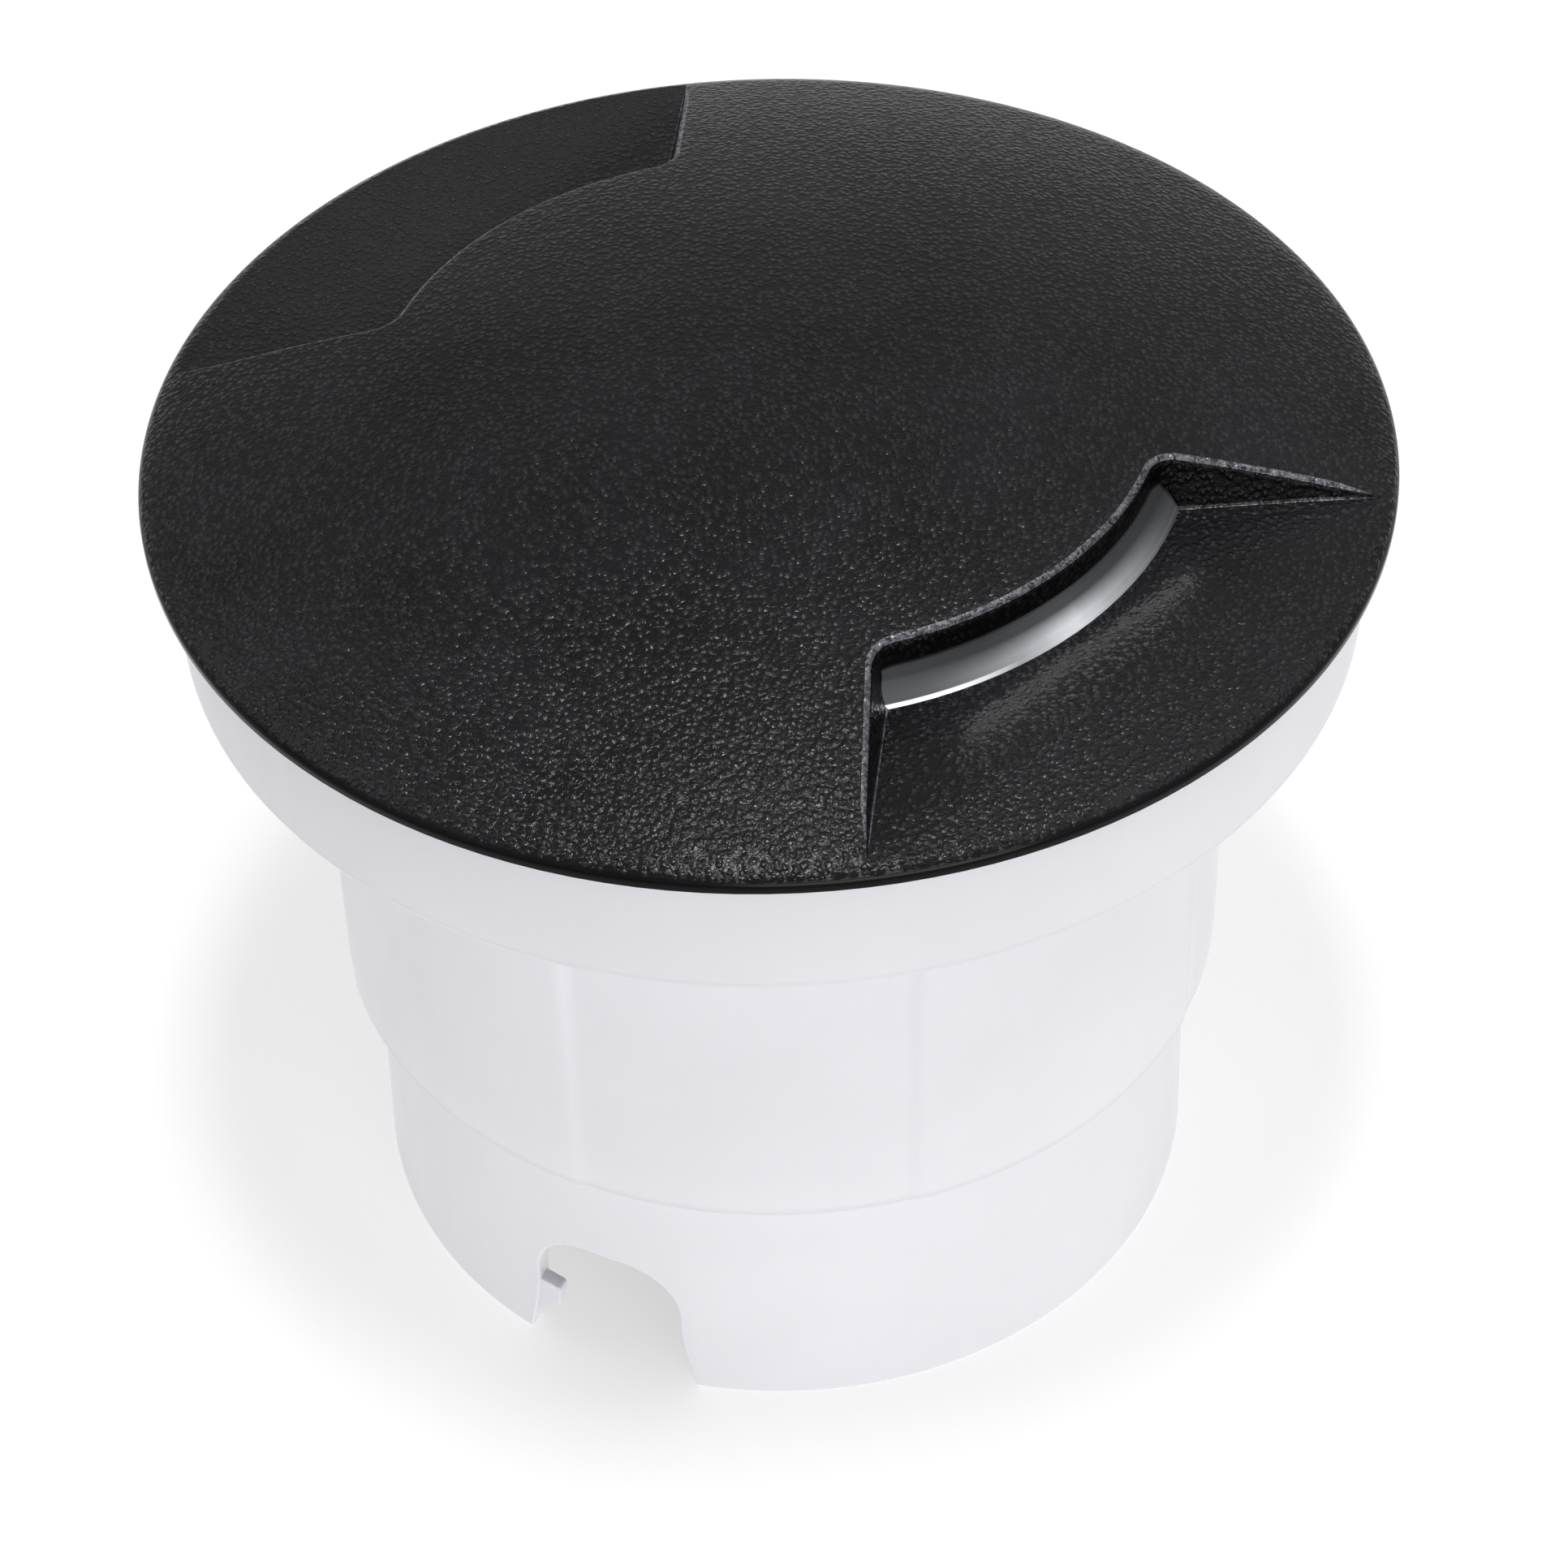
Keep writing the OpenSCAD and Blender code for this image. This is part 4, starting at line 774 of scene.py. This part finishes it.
def moulded_sleeve(finishes, shape):
    """Satin white plastic with faint flow clouds, and painted shade under flange and ledge."""
    s = Shader("sleeve_white")
    cloud = s.noise(24 * MM, detail=4, roughness=0.55)
    streak = s.noise(3 * MM, detail=3, vector=s.stretched((1, 1, 0.15)))
    height, flange, ledge = s.axes()["Z"], shape.flange_under, shape.ledge
    # Painted shade: darker colour on the barrel just under the flange and on the skirt just under the ledge
    under_flange = s.times(
        s.span(height, flange - 3 * MM, flange, curve="SMOOTHSTEP"),
        s.span(height, flange + 0.3 * MM, flange + 1.3 * MM, 1.0, 0.0),
    )
    under_ledge = s.times(
        s.span(height, ledge - 3 * MM, ledge - 0.2 * MM, curve="SMOOTHSTEP"),
        s.span(height, ledge + 0.1 * MM, ledge + 1.6 * MM, 1.0, 0.0, "SMOOTHSTEP"),
    )
    painted_shade = s.plus(s.times(under_flange, 0.14), s.times(under_ledge, 0.13))
    unshaded = s.tint(s.span(cloud, 0.3, 0.7), shaded(finishes.sleeve, 0.985), shaded(finishes.sleeve, 1.03))
    s.set(
        Base_Color=s.scaled(unshaded, s.maths("SUBTRACT", 1.0, painted_shade)),
        Roughness=s.span(streak, 0.3, 0.7, 0.36, 0.44),
        Specular_IOR_Level=0.42,
        Subsurface_Weight=0.06,
        Subsurface_Scale=1.2 * MM,
        Subsurface_Radius=(1.0, 0.85, 0.75),
    )
    s.bump(s.plus(s.noise(0.35 * MM, detail=2), s.times(cloud, 0.6)), 0.006 * MM)
    return s.material


def moulded(name, tone, roughness=0.5, grain=0.4 * MM, depth=0.01 * MM, spread=0.12):
    """Moulded plastic or rubber with a fine texture and slight clouds."""
    s = Shader(name)
    cloud = s.noise(12 * MM, detail=4)
    fine = s.noise(grain, detail=3, roughness=0.6)
    s.set(
        Base_Color=s.tint(s.span(cloud, 0.3, 0.7), shaded(tone, 1 - spread), shaded(tone, 1 + spread)),
        Roughness=s.span(fine, 0.3, 0.7, roughness - 0.06, roughness + 0.06),
    )
    s.bump(fine, depth)
    return s.material


def metal(name, tone, roughness=0.3, brushed=(1, 1, 8)):
    """Plated metal with fine brush lines and dull patches."""
    s = Shader(name)
    lines = s.noise(0.5 * MM, detail=3, vector=s.stretched(brushed))
    patch = s.noise(6 * MM, detail=4)
    dull = s.span(patch, 0.4, 0.7, 0, 0.06)
    s.set(
        Base_Color=s.tint(s.span(patch, 0.3, 0.7), shaded(tone, 0.88), shaded(tone, 1.06)),
        Roughness=s.plus(s.span(lines, 0.3, 0.7, roughness - 0.05, roughness + 0.08), dull),
        Metallic=1.0,
    )
    s.bump(lines, 0.004 * MM)
    return s.material


def clear_plastic(name, tone):
    """Milky plastic that lets some light through."""
    s = Shader(name)
    haze = s.noise(8 * MM, detail=3)
    s.set(
        Base_Color=s.tint(haze, shaded(tone, 0.95), tone),
        Roughness=s.span(haze, 0.3, 0.7, 0.25, 0.4),
        Transmission_Weight=0.4,
        IOR=1.49,
        Subsurface_Weight=0.2,
        Subsurface_Scale=2 * MM,
    )
    s.bump(s.noise(0.6 * MM), 0.004 * MM)
    return s.material


def lit_lens(finishes, shape):
    """Clear lens whose emission paints the light of the lamp inside: brightest amid each window, with painted
    shade under the roof and a painted highlight along its foot.
    """
    s = Shader("lens_clear")
    x, y, z = s.axes()
    floor = shape.pocket_floor
    middle = s.span(s.maths("ABSOLUTE", x), 1 * MM, 20 * MM, 1.0, 0.0)
    middle = s.plus(s.maths("POWER", middle, 2.0), 0.05)
    # Painted shade: the glow fades towards the top, under the roof
    low = s.span(z, floor + 0.7 * MM, floor + 2.1 * MM, 1.0, 0.03)
    cloud = s.span(s.noise(5 * MM, detail=3), 0.3, 0.7, 0.88, 1.1)
    glow = s.times(s.times(s.times(middle, low), cloud), finishes.glow)
    # The painted highlight along the foot shines at one end of each window: there, x times y is positive and
    # large
    one_end = s.span(s.times(x, y), 250 * MM * MM, 560 * MM * MM, 0.03, finishes.foot_highlight)
    foot = s.times(s.span(z, floor + 0.1 * MM, floor + 0.2 * MM, 1.0, 0.0), one_end)
    s.set(
        Base_Color=s.tint(cloud, (0.025, 0.026, 0.028), (0.04, 0.042, 0.044)),
        Roughness=s.span(s.noise(3 * MM, detail=3), 0.3, 0.7, 0.3, 0.42),
        Emission_Color=(0.93, 0.95, 1.0, 1),
        Emission_Strength=s.plus(glow, foot),
        Transmission_Weight=0.1,
        IOR=1.49,
        Specular_IOR_Level=0.06,
    )
    s.bump(s.noise(1.5 * MM, detail=2), 0.004 * MM)
    return s.material


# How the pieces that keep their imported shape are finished: each slot's maker, colour and further values
INNER_FINISHES = {
    "housing_grey": (moulded, (0.12, 0.12, 0.125), {"roughness": 0.55, "depth": 0.015 * MM}),
    "ring_black": (moulded, (0.05, 0.05, 0.055), {}),
    "reflector_white": (
        moulded, (0.86, 0.86, 0.87), {"roughness": 0.32, "depth": 0.004 * MM, "spread": 0.03}
    ),
    "lamp_white": (moulded, (0.84, 0.84, 0.83), {"roughness": 0.4, "depth": 0.006 * MM, "spread": 0.03}),
    "diffuser_opal": (clear_plastic, (0.92, 0.92, 0.9), {}),
    "board_white": (
        moulded,
        (0.82, 0.82, 0.8),
        {"roughness": 0.35, "grain": 0.9 * MM, "depth": 0.008 * MM, "spread": 0.05},
    ),
    "board_green": (
        moulded,
        (0.03, 0.16, 0.06),
        {"roughness": 0.35, "grain": 0.9 * MM, "depth": 0.02 * MM, "spread": 0.3},
    ),
    "contact_brass": (metal, (0.80, 0.60, 0.28), {"roughness": 0.28}),
    "holder_white": (moulded, (0.82, 0.82, 0.79), {"roughness": 0.45, "spread": 0.04}),
    "plate_zinc": (metal, (0.66, 0.68, 0.71), {"roughness": 0.38, "brushed": (1, 9, 1)}),
    "screw_steel": (metal, (0.62, 0.62, 0.63), {"roughness": 0.26, "brushed": (6, 1, 1)}),
    "terminal_natural": (clear_plastic, (0.82, 0.81, 0.76), {}),
    "wire_brown": (moulded, (0.16, 0.07, 0.03), {"roughness": 0.4, "grain": 0.6 * MM}),
    "wire_blue": (moulded, (0.02, 0.10, 0.42), {"roughness": 0.4, "grain": 0.6 * MM}),
    "gland_black": (moulded, (0.03, 0.03, 0.032), {"roughness": 0.45, "depth": 0.02 * MM}),
    "seal_grey": (moulded, (0.16, 0.16, 0.165), {"roughness": 0.7, "grain": 0.5 * MM, "depth": 0.02 * MM}),
}


class INGROUND_OT_inner_parts(Operator):
    """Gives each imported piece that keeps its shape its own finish"""

    bl_idname = "inground.inner_parts"
    bl_label = "Inner parts"
    bl_options = {"REGISTER", "UNDO"}

    def execute(self, context):
        made = {slot: make(slot, tone, **values) for slot, (make, tone, values) in INNER_FINISHES.items()}
        made["lens_clear"] = lit_lens(context.scene.inground_finish, context.scene.inground_cover)
        for part in frame["record"]["subparts"]:
            look = made.get(part["material_slot"])
            if look:
                for held in frame["nodes"][part["node"]].material_slots:
                    held.material = look
        return {"FINISHED"}


# Stage

FLOOR_HALF = 6  # half the floor's side, in metres
# The floor's own light by distance from the axis: where its change starts and ends, and its strength there
# Painted shade: the floor that the camera sees is darker near the light, a grey pool round it
FLOOR_SEEN = (0.16, 0.42, 0.52, 1.0)  # for the camera: a grey pool under the light, white further out
FLOOR_FELT = (0.08, 0.3, 0.75, 0.33)  # for all other rays: what brightens the sleeve from below
LAMPS_AIM = Vector((0, 0, 60 * MM))
WINDOW = Vector((0, -41.5 * MM, 93.6 * MM))  # just outside the front window's lens


def background_share(tree):
    """1 for what the camera sees, directly or through clear plastic, and 0 for all other rays."""
    path = tree.add("LightPath").outputs
    return tree.maths("MAXIMUM", path["Is Camera Ray"], path["Is Transmission Ray"])


def floor_material():
    """Pale floor that keeps shadows, turns white further out, and can't be seen from below."""
    material = bpy.data.materials.new("pale_floor")
    tree = Tree(material)
    tree.nodes.clear()
    distance = tree.size_of(tree.add("TexCoord").outputs["Object"])
    seen, felt = tree.add("Emission"), tree.add("Emission")
    tree.feed(seen.inputs["Strength"], tree.span(distance, *FLOOR_SEEN))
    tree.feed(felt.inputs["Strength"], tree.span(distance, *FLOOR_FELT))
    light = tree.mixed(background_share(tree), felt.outputs[0], seen.outputs[0])
    ground = tree.filled(tree.add("BsdfDiffuse"), (0.55, 0.55, 0.55, 1))[0]
    above = tree.filled(tree.add("AddShader"), ground, light)[0]
    backward = tree.add("NewGeometry").outputs["Backfacing"]
    tree.end("OutputMaterial", tree.mixed(backward, above, tree.add("BsdfTransparent").outputs[0]))
    return material


def set_surroundings(scene, strength):
    """Even dim light from all round, which the camera sees as white."""
    scene.world = bpy.data.worlds.new("surroundings")
    tree = Tree(scene.world)
    tree.nodes.clear()
    sky = tree.filled(tree.add("Background"), (0.97, 0.98, 1, 1), strength)[0]
    white = tree.filled(tree.add("Background"), (1, 1, 1, 1))[0]
    tree.end("OutputWorld", tree.mixed(background_share(tree), sky, white))


def area_lamp(name, place, aim, size, power):
    """Rectangular lamp at a place, turned towards its aim."""
    data = bpy.data.lights.new(name, "AREA")
    data.shape = "RECTANGLE"
    data.size, data.size_y = size
    data.energy = power
    lamp = bpy.data.objects.new(name, data)
    lamp.location = place
    lamp.rotation_mode = "QUATERNION"
    lamp.rotation_quaternion = (aim - place).to_track_quat("-Z", "Y")
    bpy.context.scene.collection.objects.link(lamp)


def place_lamps(stage, right, away, up):
    """Soft lamps, placed by how far they stand to the right, behind the light and above its middle."""

    def at(aside, behind, above):
        return LAMPS_AIM + right * aside + away * behind + up * above

    aim, dome_aim = LAMPS_AIM, LAMPS_AIM + up * 0.03
    for lamp in (
        ("front_softbox", at(0.28, -0.96, 0.26), aim, (0.8, 0.5), stage.front),
        ("left_softbox", at(-0.7, 0.2, 0.7), aim, (0.6, 0.6), stage.left),
        ("small_top", at(0.0, -0.11, 0.9), aim, (0.1, 0.18), stage.top),
        ("right_softbox", at(0.45, 0.04, 0.8), aim, (0.8, 0.8), stage.right),
        ("window_spill", WINDOW, WINDOW + Vector((0, -1, -0.8)), (30 * MM, 1.5 * MM), stage.spill),
        ("back_softbox", at(0.2, 0.85, 0.6), dome_aim, (1.6, 0.9), stage.back),
    ):
        area_lamp(*lamp)


def place_camera(scene, stage, right, away, up):
    """Camera at the photograph's angle, looking past the rim's centre."""
    tilted_up = away * math.sin(stage.elevation) + up * math.cos(stage.elevation)
    forward = away * math.cos(stage.elevation) - up * math.sin(stage.elevation)
    image_right = right * math.cos(stage.roll) + tilted_up * math.sin(stage.roll)
    image_up = tilted_up * math.cos(stage.roll) - right * math.sin(stage.roll)
    rim_centre = Vector((0, 0, scene.inground_cover.rim))
    place = rim_centre + right * stage.aside - tilted_up * stage.below - forward * stage.distance
    data = bpy.data.cameras.new("camera")
    data.sensor_width = 36
    data.lens = stage.lens
    data.clip_start, data.clip_end = 0.02, 20
    camera = bpy.data.objects.new("camera", data)
    scene.collection.objects.link(camera)
    turn = Matrix((image_right, image_up, -forward)).transposed()
    camera.matrix_world = Matrix.Translation(place) @ turn.to_4x4()
    scene.camera = camera


class INGROUND_OT_stage(Operator):
    """Sets up the pale floor, the soft lamps, the surroundings and the camera"""

    bl_idname = "inground.stage"
    bl_label = "Stage"
    bl_options = {"REGISTER", "UNDO"}

    def execute(self, context):
        scene, stage = context.scene, context.scene.inground_stage
        bm = bmesh.new()
        bmesh.ops.create_grid(bm, x_segments=2, y_segments=2, size=FLOOR_HALF)
        floor = as_object("floor", bm)
        floor.data.materials.append(floor_material())
        right = Vector((math.cos(stage.azimuth), math.sin(stage.azimuth), 0))
        away, up = Vector((-right.y, right.x, 0)), Vector((0, 0, 1))
        place_lamps(stage, right, away, up)
        set_surroundings(scene, stage.sky)
        place_camera(scene, stage, right, away, up)
        scene.view_settings.view_transform = "Standard"
        return {"FINISHED"}


# Panel and registration


class INGROUND_PT_light(Panel):
    """Lists the light's pieces in the order in which they are made"""

    bl_idname = "INGROUND_PT_light"
    bl_label = "In-ground light"
    bl_space_type = "VIEW_3D"
    bl_region_type = "UI"
    bl_category = "In-ground light"

    def draw(self, context):
        for step in STEPS:
            self.layout.operator(step.bl_idname)


STEPS = (INGROUND_OT_stage, INGROUND_OT_sleeve, INGROUND_OT_cover, INGROUND_OT_inner_parts)
GROUPS = {
    "inground_cover": CoverShape,
    "inground_sleeve": SleeveShape,
    "inground_finish": LightFinish,
    "inground_stage": LightStage,
}


def register():
    """Makes the property groups, operators and panel known, and hangs the groups on the scene."""
    for cls in (*GROUPS.values(), *STEPS, INGROUND_PT_light):
        bpy.utils.register_class(cls)
    for name, group in GROUPS.items():
        setattr(bpy.types.Scene, name, PointerProperty(type=group))


def unregister():
    """Undoes register."""
    for name in GROUPS:
        delattr(bpy.types.Scene, name)
    for cls in (INGROUND_PT_light, *STEPS, *GROUPS.values()):
        bpy.utils.unregister_class(cls)


def main():
    """Builds the whole scene."""
    register()
    for step in STEPS:
        group, call = step.bl_idname.split(".")
        getattr(getattr(bpy.ops, group), call)()


if __name__ == "__main__":
    main()
